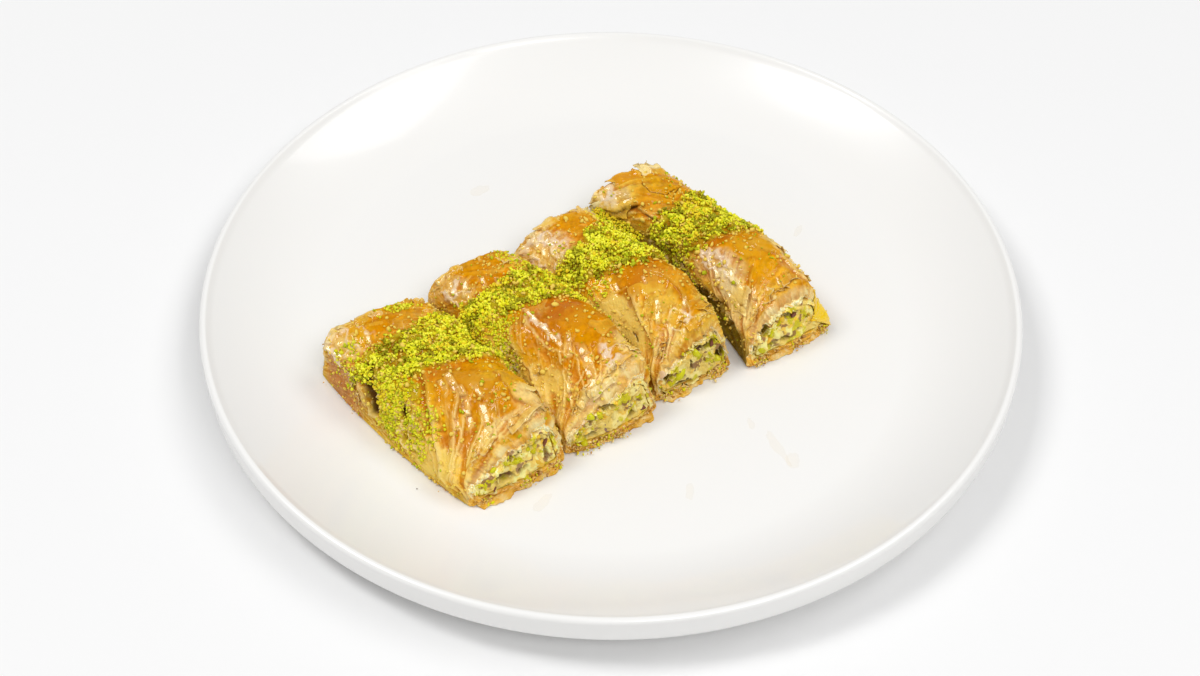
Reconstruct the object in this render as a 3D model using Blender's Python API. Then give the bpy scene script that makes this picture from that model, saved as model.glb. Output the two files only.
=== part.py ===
"""Four curled pistachio baklava in a row on a round white plate.

Metres, +Z up. The origin is the middle of the plate's foot, on the table.
+X runs along the row of rolls and +Y along each roll, from its front cut to its back cut.
"""
import math
import random

import bmesh
import bpy
import numpy as np

# Plate: a turned coupe dish with a narrow lip, an upright outer wall and a low foot ring
PLATE_RADIUS = 0.130
PLATE_HEIGHT = 0.020
WELL_RADIUS = 0.095
WELL_HEIGHT = 0.006
RISE_POWER = 1.7
LIP_WIDTH = 0.0028
WALL_DROP = 0.0088
WALL_TAPER = 0.0002
WALL_ROUND = 0.0014
WALL_THICKNESS = 0.0046
RIM_SWELL = 0.0048
OUTER_PLACES = (0.121, 0.110, 0.095)
FOOT_OUTER = 0.076
FOOT_INNER = 0.071
FOOT_FLARE = 0.001
FOOT_RECESS = 0.0013
PLATE_STEPS = 52

# Rolls: what all four share
REST_GAP = 0.0003
ROLL_BASE = WELL_HEIGHT + REST_GAP
SEAM_GAP = 0.00018
ROW_FRONT = -0.042
ROW_BACK = 0.028
SIDE_WALL = 0.0032
TOP_WALL = 0.0050
FLOOR_WALL = 0.0028
FILLING_GAP = 0.0003
CORNER_ROUND = 0.0010
FACE_LEAN = 0.0034
BACK_LEAN = 0.0012
FACE_HEIGHT = 0.020
BULGE_FADE = 4
BULGE_POWER = 0.8
EDGE_ROUND = 0.0022
EDGE_LENGTH = 0.0045
EDGE_LOW = 0.006
EDGE_HIGH = 0.016
ARCH_WIDTH_POWER = 0.78
ARCH_HEIGHT_POWER = 0.42
SADDLE_LINE = 0.006
SKEW_LENGTH = 0.040
RIGHT_SHOULDER = 0.0165
SHOULDER_INSET = 0.3
LEFT_LEAN = 0.0012
CREST_LENGTH = 0.017
BACK_CREST_LENGTH = 0.0102
HEART_HEIGHT = 0.006
STATION_POWER = 1.15

# Folds of the sheet, gathered into each roll's front left corner
PLEAT_COUNT = 5
PLEAT_DEPTH = 0.0006
PLEAT_REACH = 0.030
PLEAT_AHEAD = 0.002
PLEAT_END = 0.62
PLEAT_FADE = 0.25
CREASE_DEPTH = 0.0003
CREASE_ACROSS = 0.0047
CREASE_ALONG = 0.0062
EDGE_START = 0.08
EDGE_FADE = 0.14
HOLLOW_FADE = 0.05

# Ground pistachio over the saddle: its edges slant, so each is given at four places across
BAND_PLACES = (0.12, 0.40, 0.65, 0.90)
BAND_RISE = 0.0014
BAND_EDGE = 0.0025
BAND_END = 0.95
BAND_BUMP = 0.0004
BUMP_ACROSS = 0.00071
BUMP_ALONG = 0.00083
GRAIN_COUNT = 22
GRAIN_SMALL = 0.0007
GRAIN_LARGE = 0.0011
GRAIN_FIRST = 0.30
GRAIN_SPAN = 0.44
GRAIN_STEP = 0.618
GRAIN_JITTER_ACROSS = 0.02
GRAIN_JITTER_ALONG = 0.001
GRAIN_STAND = 0.35

# Nuts that stand out of the filling at a cut
NUT_COUNT = 4
NUT_SMALL = 0.0013
NUT_LARGE = 0.0021
NUT_PLACE = 0.5
PASTE_RELIEF = 0.0005
LUMP_WIDE = (0.9, 1.3)
LUMP_LOW = (0.75, 1.0)

# Mesh density
WALL_STEPS = 4
ARCH_STEPS = 18
FLOOR_STEPS = 4
ROLL_ROWS = 19
CORE_ROWS = 3
END_RING = 0.5

# Seams between rolls: x at the front, the middle and the back of the row
SEAM_0 = (-0.0795, -0.0875, -0.0906)
SEAM_1 = (-0.0446, -0.0462, -0.0520)
SEAM_2 = (-0.0100, -0.0104, -0.0185)
SEAM_3_LEFT = (0.0196, 0.0200, 0.0135)
SEAM_3_RIGHT = (0.0228, 0.0246, 0.0160)
SEAM_4 = (0.0568, 0.0548, 0.0500)

# Each roll: its cuts, its seams, how high its crests and saddle stand and where the crests are, where
# across the roll they peak, how high the left shoulder is and how much higher at the back, how far the
# right side leans in, how far the front cut bulges, and the y of the ground pistachio's front and back
# edge at BAND_PLACES
ROLLS = {
    "pastry_1": {
        "front": -0.0420, "back": 0.0275, "left": SEAM_0, "right": SEAM_1,
        "front_top": 0.0290, "saddle": 0.0243, "back_top": 0.0276,
        "front_crest": -0.021, "back_crest": 0.021, "front_peak": 0.76, "back_peak": 0.46,
        "left_shoulder": 0.0140, "left_rise": 0.0045, "right_lean": 0.0012,
        "bulge": 0.0022, "seed": 11,
        "band_front": (0.002, -0.004, -0.008, -0.014),
        "band_back": (0.007, 0.012, 0.015, 0.021),
    },
    "pastry_2": {
        "front": -0.0405, "back": 0.0295, "left": SEAM_1, "right": SEAM_2,
        "front_top": 0.0302, "saddle": 0.0250, "back_top": 0.0292,
        "front_crest": -0.016, "back_crest": 0.022, "front_peak": 0.76, "back_peak": 0.50,
        "left_shoulder": 0.0140, "left_rise": 0.0020, "right_lean": 0.0012,
        "bulge": 0.0028, "seed": 12,
        "band_front": (0.006, 0.003, -0.001, -0.008),
        "band_back": (0.014, 0.014, 0.015, 0.017),
    },
    "pastry_3": {
        "front": -0.0385, "back": 0.0315, "left": SEAM_2, "right": SEAM_3_LEFT,
        "front_top": 0.0298, "saddle": 0.0252, "back_top": 0.0272,
        "front_crest": -0.015, "back_crest": 0.026, "front_peak": 0.72, "back_peak": 0.62,
        "left_shoulder": 0.0140, "left_rise": 0.0020, "right_lean": 0.0012,
        "bulge": 0.0010, "seed": 13,
        "band_front": (0.009, 0.0, -0.004, -0.006),
        "band_back": (0.014, 0.016, 0.020, 0.026),
    },
    "pastry_4": {
        "front": -0.0425, "back": 0.0350, "left": SEAM_3_RIGHT, "right": SEAM_4,
        "front_top": 0.0300, "saddle": 0.0255, "back_top": 0.0292,
        "front_crest": -0.018, "back_crest": 0.026, "front_peak": 0.64, "back_peak": 0.42,
        "left_shoulder": 0.0150, "left_rise": 0.0035, "right_lean": 0.0038,
        "bulge": 0.0010, "seed": 14,
        "band_front": (-0.006, -0.007, -0.013, -0.016),
        "band_back": (0.008, 0.012, 0.017, 0.018),
    },
}

# Hollows and raised spots of single rolls: across (0 left, 1 right), y, reach, height
SPOTS = {
    "pastry_1": ((0.12, -0.010, 0.0085, -0.0022), (0.13, 0.012, 0.0060, 0.0010)),
    "pastry_2": ((0.25, 0.020, 0.0070, 0.0008),),
    "pastry_3": ((0.42, -0.022, 0.0060, 0.0009), (0.86, -0.030, 0.0050, 0.0008)),
    "pastry_4": ((0.22, 0.026, 0.0080, 0.0012), (0.20, -0.010, 0.0070, -0.0010)),
}

# Loose flakes: across, y, half widths across and along, lift of the free edge, turn in degrees
FLAKES = {
    "pastry_1": ((0.55, -0.033, 0.0050, 0.0040, 0.0012, 20), (0.40, 0.021, 0.0045, 0.0035, 0.0010, 70)),
    "pastry_2": ((0.62, -0.031, 0.0055, 0.0040, 0.0012, -15), (0.45, 0.024, 0.0045, 0.0030, 0.0010, 60)),
    "pastry_3": ((0.66, -0.029, 0.0040, 0.0035, 0.0013, 30), (0.38, -0.018, 0.0022, 0.0080, 0.0010, 35)),
    "pastry_4": ((0.30, -0.034, 0.0035, 0.0040, 0.0014, 10), (0.45, 0.027, 0.0050, 0.0040, 0.0014, 120)),
}
FLAKE_THICKNESS = 0.0006
FLAKE_ROOT = 0.0009
FLAKE_NARROWING = 0.25
FLAKE_CURL = 1.5
FLAKE_DROOP = 0.0005
FLAKE_STEPS = 3

# Colours: linear base colour, roughness
PORCELAIN = ((0.86, 0.85, 0.82), 0.12)
CRUST = ((0.66, 0.33, 0.07), 0.30)
PISTACHIO = ((0.42, 0.45, 0.10), 0.65)


def clear_scene():
    """Start from nothing."""
    for item in list(bpy.data.objects):
        bpy.data.objects.remove(item, do_unlink=True)


def material(name, finish):
    """A plain Principled material."""
    colour, roughness = finish
    made = bpy.data.materials.new(name)
    made.use_nodes = True
    shader = made.node_tree.nodes["Principled BSDF"]
    shader.inputs["Base Color"].default_value = (*colour, 1.0)
    shader.inputs["Roughness"].default_value = roughness
    shader.inputs["Metallic"].default_value = 0.0
    return made


def build_object(name, mesh_data, finish, sharp_degrees=50):
    """Make an object of a closed bmesh, faces outwards, round parts shaded smooth."""
    bmesh.ops.recalc_face_normals(mesh_data, faces=mesh_data.faces)
    mesh = bpy.data.meshes.new(name)
    mesh_data.to_mesh(mesh)
    mesh_data.free()
    mesh.shade_smooth()
    mesh.set_sharp_from_angle(angle=math.radians(sharp_degrees))
    made = bpy.data.objects.new(name, mesh)
    bpy.context.scene.collection.objects.link(made)
    mesh.materials.append(material(name, finish))
    return made


def well_surface(radius):
    """Height of the plate's eating face: flat, then rising as a power of the distance."""
    span = PLATE_RADIUS - LIP_WIDTH / 2 - WELL_RADIUS
    part = max(0.0, radius - WELL_RADIUS) / span
    return WELL_HEIGHT + (PLATE_HEIGHT - WELL_HEIGHT) * part ** RISE_POWER


def under_surface(radius):
    """Height of the plate's outer face: below the eating face by a wall that thickens to the rim."""
    part = (radius - WELL_RADIUS) / (PLATE_RADIUS - WELL_RADIUS)
    return well_surface(radius) - WALL_THICKNESS - RIM_SWELL * part ** 2


def plate_profile():
    """Radius and height from the middle of the well, over the lip, to the middle underneath."""
    inner = [(0.0, WELL_HEIGHT)]
    for part in (0.0, 0.25, 0.5, 0.75):
        radius = WELL_RADIUS + part * (PLATE_RADIUS - LIP_WIDTH - WELL_RADIUS)
        inner.append((radius, well_surface(radius)))
    half = LIP_WIDTH / 2
    middle = (PLATE_RADIUS - half, PLATE_HEIGHT - half)
    lip = []
    for degrees in (135, 90, 45, 0):
        angle = math.radians(degrees)
        lip.append((middle[0] + half * math.cos(angle), middle[1] + half * math.sin(angle)))
    wall_foot = PLATE_HEIGHT - WALL_DROP
    wall = [(PLATE_RADIUS - WALL_TAPER, wall_foot), (PLATE_RADIUS - WALL_ROUND, wall_foot - WALL_ROUND)]
    outer = []
    for radius in OUTER_PLACES:
        outer.append((radius, under_surface(radius)))
    outer.append((FOOT_OUTER + FOOT_FLARE, WELL_HEIGHT - WALL_THICKNESS))
    foot = [(FOOT_OUTER, 0.0), (FOOT_INNER, 0.0), (FOOT_INNER - FOOT_FLARE, FOOT_RECESS)]
    return inner + lip + wall + outer + foot + [(0.0, FOOT_RECESS)]


def make_plate():
    """Turn the profile about the plate's axis."""
    points = plate_profile()
    made = bmesh.new()
    rings = []
    for radius, height in points:
        if radius == 0.0:
            rings.append([made.verts.new((0.0, 0.0, height))])
            continue
        ring = []
        for step in range(PLATE_STEPS):
            angle = 2 * math.pi * step / PLATE_STEPS
            ring.append(made.verts.new((radius * math.cos(angle), radius * math.sin(angle), height)))
        rings.append(ring)
    for first, second in zip(rings, rings[1:]):
        join_rings(made, first, second)
    build_object("plate", made, PORCELAIN)


def join_rings(target, first, second):
    """Faces between two closed rings, one of which may be a single point."""
    count = max(len(first), len(second))
    for step in range(count):
        after = (step + 1) % count
        if len(first) == 1:
            target.faces.new((first[0], second[step], second[after]))
        elif len(second) == 1:
            target.faces.new((first[step], first[after], second[0]))
        else:
            target.faces.new((first[step], first[after], second[after], second[step]))


def through(values, y):
    """A parabola through three values, at the row's front, middle and back."""
    part = (y - ROW_FRONT) / (ROW_BACK - ROW_FRONT)
    first, middle, last = values
    bend = 2 * (first + last - 2 * middle)
    return first + (last - first - bend) * part + bend * part * part


def bell(distance, reach):
    """One at no distance, falling smoothly to nothing."""
    return np.exp(-(distance / reach) ** 2)


def step_up(value):
    """A smooth step from 0 to 1."""
    part = np.clip(value, 0.0, 1.0)
    return part * part * (3 - 2 * part)


def cross_section(roll, y, side=0.0, top=0.0, floor=0.0):
    """Closed cross-sections of a roll at the stations y, inset from its skin.

    Each runs up the left side, over the arch and down the right side, then back along the
    floor. The arch is a superellipse whose peak moves to the right towards the front.
    """
    y = y[:, None]
    left = through(roll["left"], y) + SEAM_GAP + side
    right = through(roll["right"], y) - SEAM_GAP - side
    base = ROLL_BASE + floor
    front_rise = (roll["front_top"] - roll["saddle"]) * bell(y - roll["front_crest"], CREST_LENGTH)
    back_rise = (roll["back_top"] - roll["saddle"]) * bell(y - roll["back_crest"], BACK_CREST_LENGTH)
    crest = roll["saddle"] + front_rise + back_rise - top
    forward = step_up((SADDLE_LINE - y) / SKEW_LENGTH)
    peak = roll["back_peak"] + (roll["front_peak"] - roll["back_peak"]) * forward
    left_shoulder = roll["left_shoulder"] + roll["left_rise"] * (1 - forward) - top * SHOULDER_INSET
    right_shoulder = RIGHT_SHOULDER - top * SHOULDER_INSET + 0 * y

    up = (np.arange(WALL_STEPS) / WALL_STEPS)[None, :]
    left_x = left + LEFT_LEAN * up + CORNER_ROUND * (up == 0)
    left_z = base + (left_shoulder - base) * up
    down = 1 - up
    right_x = right - roll["right_lean"] * down
    right_z = base + (right_shoulder - base) * down

    angle = (np.pi * (1 - np.arange(ARCH_STEPS) / ARCH_STEPS))[None, :]
    cosine = np.cos(angle)
    middle = (left + LEFT_LEAN + right - roll["right_lean"]) / 2
    half = (right - roll["right_lean"] - left - LEFT_LEAN) / 2
    arch_x = middle + half * np.sign(cosine) * np.abs(cosine) ** ARCH_WIDTH_POWER
    shifted = ((1 + cosine) / 2) ** (math.log(0.5) / np.log(peak))
    springing = left_shoulder * (1 - cosine) / 2 + right_shoulder * (1 + cosine) / 2
    mean_shoulder = (left_shoulder + right_shoulder) / 2
    arch_z = springing + (crest - mean_shoulder) * (4 * shifted * (1 - shifted)) ** ARCH_HEIGHT_POWER

    across = (np.arange(FLOOR_STEPS) / FLOOR_STEPS)[None, :]
    floor_x = right - CORNER_ROUND + (left - right + 2 * CORNER_ROUND) * across
    floor_z = base + 0 * floor_x
    x = np.concatenate([left_x, arch_x, right_x, floor_x], axis=1)
    z = np.concatenate([left_z, arch_z, right_z, floor_z], axis=1)
    return x, z


def stations(roll, rows):
    """Places along a roll, closer together towards its front cut."""
    part = np.linspace(0, 1, rows) ** STATION_POWER
    return roll["front"] + (roll["back"] - roll["front"]) * part


def lean_cuts(roll, y, x, z):
    """Lay both cut faces back and let the front one bulge: a point's y, given its station and place."""
    y = y[:, None]
    left = through(roll["left"], y)
    across = np.clip((x - left) / (through(roll["right"], y) - left), 0, 1)
    height = (z - ROLL_BASE) / FACE_HEIGHT
    part = (y - roll["front"]) / (roll["back"] - roll["front"])
    bulge = roll["bulge"] * (4 * across * (1 - across)) ** BULGE_POWER * (1 - part) ** BULGE_FADE
    return y + FACE_LEAN * height * (1 - part) - BACK_LEAN * height * part - bulge


def rounded_edge(y, z):
    """How far the skin sinks towards the front cut: an ellipse's quarter, fading out low on the walls."""
    near = 1 - np.clip((y - y[:1]) / EDGE_LENGTH, 0, 1)
    high = step_up((z - ROLL_BASE - EDGE_LOW) / (EDGE_HIGH - EDGE_LOW))
    return EDGE_ROUND * (1 - np.sqrt(1 - near ** 2)) * high


def skin_relief(name, roll, x, y, z):
    """How far the skin stands out: pleats, creases, the nut band and single spots."""
    skin = WALL_STEPS * 2 + ARCH_STEPS
    length = np.hypot(np.diff(x, axis=1, prepend=x[:, :1]), np.diff(z, axis=1, prepend=z[:, :1]))
    along = np.cumsum(length, axis=1)
    across = np.clip(along / along[:, skin - 1:skin], 0, 1)
    from_front = y - roll["front"] + PLEAT_AHEAD
    turn = np.arctan2(from_front, along)
    distance = np.hypot(from_front, along)
    fade = (distance / PLEAT_REACH) * np.exp(1 - distance / PLEAT_REACH)
    pleats = PLEAT_DEPTH * np.cos(4 * PLEAT_COUNT * turn + roll["seed"]) * fade
    pleats = pleats * step_up((PLEAT_END - across) / PLEAT_FADE)
    creases = CREASE_DEPTH * np.sin(along / CREASE_ACROSS + y / CREASE_ALONG + roll["seed"])
    first = np.interp(across, BAND_PLACES, roll["band_front"])
    last = np.interp(across, BAND_PLACES, roll["band_back"])
    band = step_up((y - first) / BAND_EDGE + 0.5) * step_up((last - y) / BAND_EDGE + 0.5)
    band = band * step_up((across - EDGE_START) / EDGE_FADE) * step_up((BAND_END - across) / EDGE_FADE)
    bumps = BAND_BUMP * np.sin(x / BUMP_ACROSS + roll["seed"]) * np.sin(y / BUMP_ALONG)
    relief = pleats * (1 - band) + creases + (BAND_RISE + bumps) * band
    for where, spot_y, reach, rise in SPOTS[name]:
        spread = np.hypot((across - where) * along[:, skin - 1:skin], y - spot_y)
        relief = relief + rise * bell(spread, reach)
    edge = np.minimum(across, 1 - across)
    raised = step_up((edge - EDGE_START) / EDGE_FADE)
    relief = relief * np.where(relief > 0, raised, step_up(edge / HOLLOW_FADE))
    relief = relief - rounded_edge(y, z)
    relief[:, skin:] = 0.0
    return relief


def push_out(x, z, relief):
    """Move cross-section points away from the roll's heart by their relief."""
    heart_x = (x.max(axis=1, keepdims=True) + x.min(axis=1, keepdims=True)) / 2
    heart_z = ROLL_BASE + HEART_HEIGHT
    reach = np.hypot(x - heart_x, z - heart_z)
    return x + (x - heart_x) / reach * relief, z + (z - heart_z) / reach * relief


def skin_points(name, roll, rows):
    """The outer skin as rows of cross-sections."""
    y = stations(roll, rows)
    x, z = cross_section(roll, y)
    long_y = lean_cuts(roll, y, x, z)
    x, z = push_out(x, z, skin_relief(name, roll, x, long_y, z))
    return np.stack([x, long_y, z], axis=-1)


def core_points(roll, rows, gap):
    """The tunnel that holds the filling, or the filling itself with its gap all round."""
    y = stations(roll, rows)
    x, z = cross_section(roll, y, SIDE_WALL + gap, TOP_WALL + gap, FLOOR_WALL + gap)
    return np.stack([x, lean_cuts(roll, y, x, z), z], axis=-1)


def add_rings(target, points):
    """Put rows of points into a bmesh."""
    return [[target.verts.new(point) for point in row] for row in points.tolist()]


def lump(name, place, size, rng, group):
    """A crumb or a piece of nut: a turned and stretched 20-faced ball."""
    made = bmesh.new()
    bmesh.ops.create_icosphere(made, subdivisions=1, radius=size)
    for vertex in made.verts:
        vertex.co.x *= rng.uniform(*LUMP_WIDE)
        vertex.co.z *= rng.uniform(*LUMP_LOW)
    mesh = bpy.data.meshes.new(name)
    made.to_mesh(mesh)
    made.free()
    made_object = bpy.data.objects.new(name, mesh)
    made_object.location = place
    made_object.rotation_euler = [rng.uniform(0, math.pi) for _ in range(3)]
    group.objects.link(made_object)


def surface_at(points, across, y):
    """The skin's nearest grid point to a place across and along a roll, and its normal."""
    skin = WALL_STEPS * 2 + ARCH_STEPS
    column = across * (skin - 1)
    low = int(column)
    mix = column - low
    line = points[:, low] * (1 - mix) + points[:, min(low + 1, skin - 1)] * mix
    row = int(np.clip(np.searchsorted(line[:, 1], y), 1, len(line) - 1))
    part = (y - line[row - 1, 1]) / (line[row, 1] - line[row - 1, 1])
    place = line[row - 1] * (1 - part) + line[row] * part
    forward = line[row] - line[row - 1]
    sideways = points[row, min(low + 1, skin - 1)] - points[row, low]
    normal = np.cross(sideways, forward)
    normal = normal / np.linalg.norm(normal)
    if normal[2] < 0:
        normal = -normal
    return place, normal


def scatter_grains(roll, points, group):
    """Coarse grains spread over the nut band in a jittered zigzag."""
    rng = random.Random(roll["seed"])
    for number in range(GRAIN_COUNT):
        across = GRAIN_FIRST + GRAIN_SPAN * ((number * GRAIN_STEP) % 1.0)
        across = across + rng.uniform(-GRAIN_JITTER_ACROSS, GRAIN_JITTER_ACROSS)
        first = np.interp(across, BAND_PLACES, roll["band_front"])
        last = np.interp(across, BAND_PLACES, roll["band_back"])
        part = (number + 0.5) / GRAIN_COUNT
        y = first + (last - first) * part + rng.uniform(-GRAIN_JITTER_ALONG, GRAIN_JITTER_ALONG)
        place, normal = surface_at(points, across, y)
        size = rng.uniform(GRAIN_SMALL, GRAIN_LARGE)
        lump("grain", place + normal * size * GRAIN_STAND, size, rng, group)


def flake_object(points, flake, group):
    """A torn scrap of pastry sheet: rooted in the skin at one edge and lifted at the other."""
    across, y, half_across, half_along, lift, degrees = flake
    place, normal = surface_at(points, across, y)
    forward = np.array([0.0, 1.0, 0.0])
    forward = forward - normal * forward.dot(normal)
    forward = forward / np.linalg.norm(forward)
    sideways = np.cross(forward, normal)
    turn = math.radians(degrees)
    long_way = forward * math.cos(turn) + sideways * math.sin(turn)
    short_way = sideways * math.cos(turn) - forward * math.sin(turn)
    made = bmesh.new()
    layers = []
    steps = FLAKE_STEPS
    for face in (0, 1):
        grid = []
        for i in range(steps + 1):
            s = -1 + 2 * i / steps
            line = []
            for j in range(steps + 1):
                t = -1 + 2 * j / steps
                free = (t + 1) / 2
                narrow = 1 - FLAKE_NARROWING * free
                height = -FLAKE_ROOT + (lift + FLAKE_ROOT) * free ** FLAKE_CURL - FLAKE_DROOP * s * s
                height = height + FLAKE_THICKNESS * face
                spot = place + short_way * half_across * s * narrow + long_way * half_along * t
                line.append(made.verts.new(spot + normal * height))
            grid.append(line)
        layers.append(grid)
    for grid in layers:
        for i in range(steps):
            for j in range(steps):
                made.faces.new((grid[i][j], grid[i + 1][j], grid[i + 1][j + 1], grid[i][j + 1]))
    edge = [(i, 0) for i in range(steps)] + [(steps, j) for j in range(steps)]
    edge += [(steps - i, steps) for i in range(steps)] + [(0, steps - j) for j in range(steps)]
    low, high = layers
    for here, there in zip(edge, edge[1:] + edge[:1]):
        made.faces.new((low[here[0]][here[1]], low[there[0]][there[1]],
                        high[there[0]][there[1]], high[here[0]][here[1]]))
    bmesh.ops.recalc_face_normals(made, faces=made.faces)
    mesh = bpy.data.meshes.new("flake")
    made.to_mesh(mesh)
    made.free()
    group.objects.link(bpy.data.objects.new("flake", mesh))


def topping_group(name):
    """A collection for what is fused to one piece."""
    group = bpy.data.collections.new(name + "_toppings")
    bpy.context.scene.collection.children.link(group)
    return group


def drop_scraps(mesh):
    """Keep a mesh's largest shell: sealed hollows are filled and loose scraps go."""
    made = bmesh.new()
    made.from_mesh(mesh)
    unseen = set(made.verts)
    shells = []
    while unseen:
        shell = set()
        front = [next(iter(unseen))]
        while front:
            vertex = front.pop()
            if vertex in shell:
                continue
            shell.add(vertex)
            front += [edge.other_vert(vertex) for edge in vertex.link_edges]
        unseen -= shell
        shells.append(shell)
    largest = max(shells, key=len)
    scraps = [vertex for vertex in made.verts if vertex not in largest]
    bmesh.ops.delete(made, geom=scraps, context="VERTS")
    made.to_mesh(mesh)
    made.free()


def fuse(target, group):
    """Join a collection's grains and flakes to the roll, then drop them."""
    union = target.modifiers.new("fuse", "BOOLEAN")
    union.operation = "UNION"
    union.operand_type = "COLLECTION"
    union.collection = group
    union.solver = "EXACT"
    bpy.context.view_layer.update()
    evaluated = target.evaluated_get(bpy.context.evaluated_depsgraph_get())
    fused = bpy.data.meshes.new_from_object(evaluated)
    target.modifiers.remove(union)
    drop_scraps(fused)
    old = target.data
    target.data = fused
    fused.name = target.name
    bpy.data.meshes.remove(old)
    for item in list(group.objects):
        bpy.data.objects.remove(item, do_unlink=True)
    bpy.data.collections.remove(group)


def make_roll(name):
    """A roll of pastry sheets: a skin, a tunnel through it and two cut ends."""
    roll = ROLLS[name]
    points = skin_points(name, roll, ROLL_ROWS)
    made = bmesh.new()
    skin = add_rings(made, points)
    tunnel = add_rings(made, core_points(roll, CORE_ROWS, 0.0))
    for rings in (skin, tunnel):
        for first, second in zip(rings, rings[1:]):
            join_rings(made, first, second)
    join_rings(made, skin[0], tunnel[0])
    join_rings(made, skin[-1], tunnel[-1])
    group = topping_group(name)
    scatter_grains(roll, points, group)
    for flake in FLAKES[name]:
        flake_object(points, flake, group)
    fuse(build_object(name, made, CRUST), group)


def make_filling(name, roll):
    """The nut filling that runs through a roll, with pieces of nut standing out of its cuts."""
    rng = random.Random(roll["seed"] + 50)
    points = core_points(roll, CORE_ROWS, FILLING_GAP)
    made = bmesh.new()
    rings = add_rings(made, points)
    for first, second in zip(rings, rings[1:]):
        join_rings(made, first, second)
    group = topping_group(name)
    for ring, source in ((rings[0], points[0]), (rings[-1], points[-1])):
        heart = source.mean(axis=0)
        inner = []
        for point in source:
            spot = heart + (point - heart) * END_RING
            spot[1] += PASTE_RELIEF * rng.uniform(-1.0, 1.0)
            inner.append(made.verts.new(spot))
        join_rings(made, ring, inner)
        join_rings(made, inner, [made.verts.new(heart)])
        for number in range(NUT_COUNT):
            edge = source[int((number + 0.5) * len(source) / NUT_COUNT)]
            place = heart + (edge - heart) * NUT_PLACE
            lump("nut", place, rng.uniform(NUT_SMALL, NUT_LARGE), rng, group)
    fuse(build_object(name, made, PISTACHIO), group)


clear_scene()
make_plate()
for roll_name, roll_values in ROLLS.items():
    make_roll(roll_name)
    make_filling(roll_name.replace("pastry", "filling"), roll_values)
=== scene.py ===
"""Dresses the curled pistachio baklava and its plate for the camera."""
import math

import bmesh
import bpy
import numpy as np
from mathutils import Matrix, Vector


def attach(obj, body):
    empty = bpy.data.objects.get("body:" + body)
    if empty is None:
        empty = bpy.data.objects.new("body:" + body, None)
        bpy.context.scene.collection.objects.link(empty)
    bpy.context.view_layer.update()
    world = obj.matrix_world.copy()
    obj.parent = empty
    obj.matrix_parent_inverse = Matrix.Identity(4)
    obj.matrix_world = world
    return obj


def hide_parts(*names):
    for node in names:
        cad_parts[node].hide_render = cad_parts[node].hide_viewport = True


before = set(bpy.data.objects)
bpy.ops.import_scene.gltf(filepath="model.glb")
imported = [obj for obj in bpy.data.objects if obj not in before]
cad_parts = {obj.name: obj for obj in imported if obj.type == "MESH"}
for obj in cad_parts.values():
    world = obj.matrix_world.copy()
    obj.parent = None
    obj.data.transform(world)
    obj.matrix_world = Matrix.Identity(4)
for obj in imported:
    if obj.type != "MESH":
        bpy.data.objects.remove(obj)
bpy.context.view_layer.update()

# Camera
# A 60 mm lens looks down at the plate from the front left, 34 degrees round from the rolls' long axis,
# as the photograph does.
LENS_MM = 60.0
SENSOR_MM = 36.0
LOOK_DOWN = math.radians(46.82)
HEADING = math.radians(34.0)
TILT = math.radians(0.45)
CAMERA_DISTANCE = 0.621
CAMERA_TARGET = Vector((-0.0157, -0.0172, 0.020))


def camera_axes(heading, look_down, tilt):
    """Right, up and backward unit vectors of a camera turned by heading from +Y towards +X,
    dipped by look_down and rolled by tilt."""
    forward = Vector((math.cos(look_down) * math.sin(heading),
                      math.cos(look_down) * math.cos(heading), -math.sin(look_down)))
    right = Vector((math.cos(heading), -math.sin(heading), 0.0))
    up = right.cross(forward)
    rolled_right = right * math.cos(tilt) + up * math.sin(tilt)
    rolled_up = up * math.cos(tilt) - right * math.sin(tilt)
    return rolled_right, rolled_up, -forward


right, up, backward = camera_axes(HEADING, LOOK_DOWN, TILT)
camera_data = bpy.data.cameras.new("camera")
camera_data.lens = LENS_MM
camera_data.sensor_width = SENSOR_MM
camera = bpy.data.objects.new("camera", camera_data)
bpy.context.scene.collection.objects.link(camera)
place = CAMERA_TARGET + backward * CAMERA_DISTANCE
camera.matrix_world = Matrix(((right.x, up.x, backward.x, place.x), (right.y, up.y, backward.y, place.y),
                              (right.z, up.z, backward.z, place.z), (0, 0, 0, 1)))
bpy.context.scene.camera = camera

# Table and light
# A plain pale table under soft studio light: a bright surround, a wide softbox on the right that casts the
# plate's shadow, one on the left that shines in the syrup, and one at the front right that fills in.
SURROUND_STRENGTH = 0.366
LIGHT_DISTANCE = 2.5

# Degrees to the right of the camera's heading, degrees up, width, height and power
SOFTBOXES = {
    "key_softbox": (88, 60, 1.6, 1.0, 16.0),
    "left_softbox": (-88, 60, 0.60, 0.90, 23.0),
    "front_softbox": (155, 52, 1.1, 0.7, 17.5),
}

scene = bpy.context.scene
scene.view_settings.view_transform = "Standard"
world = bpy.data.worlds.new("studio")
world.use_nodes = True
world.node_tree.nodes["Background"].inputs["Color"].default_value = (1.0, 1.0, 1.0, 1.0)
world.node_tree.nodes["Background"].inputs["Strength"].default_value = SURROUND_STRENGTH
scene.world = world


def softbox(name, azimuth, elevation, width, height, power):
    """A rectangular light that faces the plate; azimuth is counted from the camera's heading to its right."""
    turn = HEADING + math.radians(azimuth)
    dip = math.radians(elevation)
    direction = Vector((math.cos(dip) * math.sin(turn), math.cos(dip) * math.cos(turn), math.sin(dip)))
    light = bpy.data.lights.new(name, "AREA")
    light.shape = "RECTANGLE"
    light.size = width
    light.size_y = height
    light.energy = power
    lamp = bpy.data.objects.new(name, light)
    lamp.location = direction * LIGHT_DISTANCE
    lamp.rotation_euler = direction.to_track_quat("Z", "Y").to_euler()
    scene.collection.objects.link(lamp)


for name, values in SOFTBOXES.items():
    softbox(name, *values)


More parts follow.
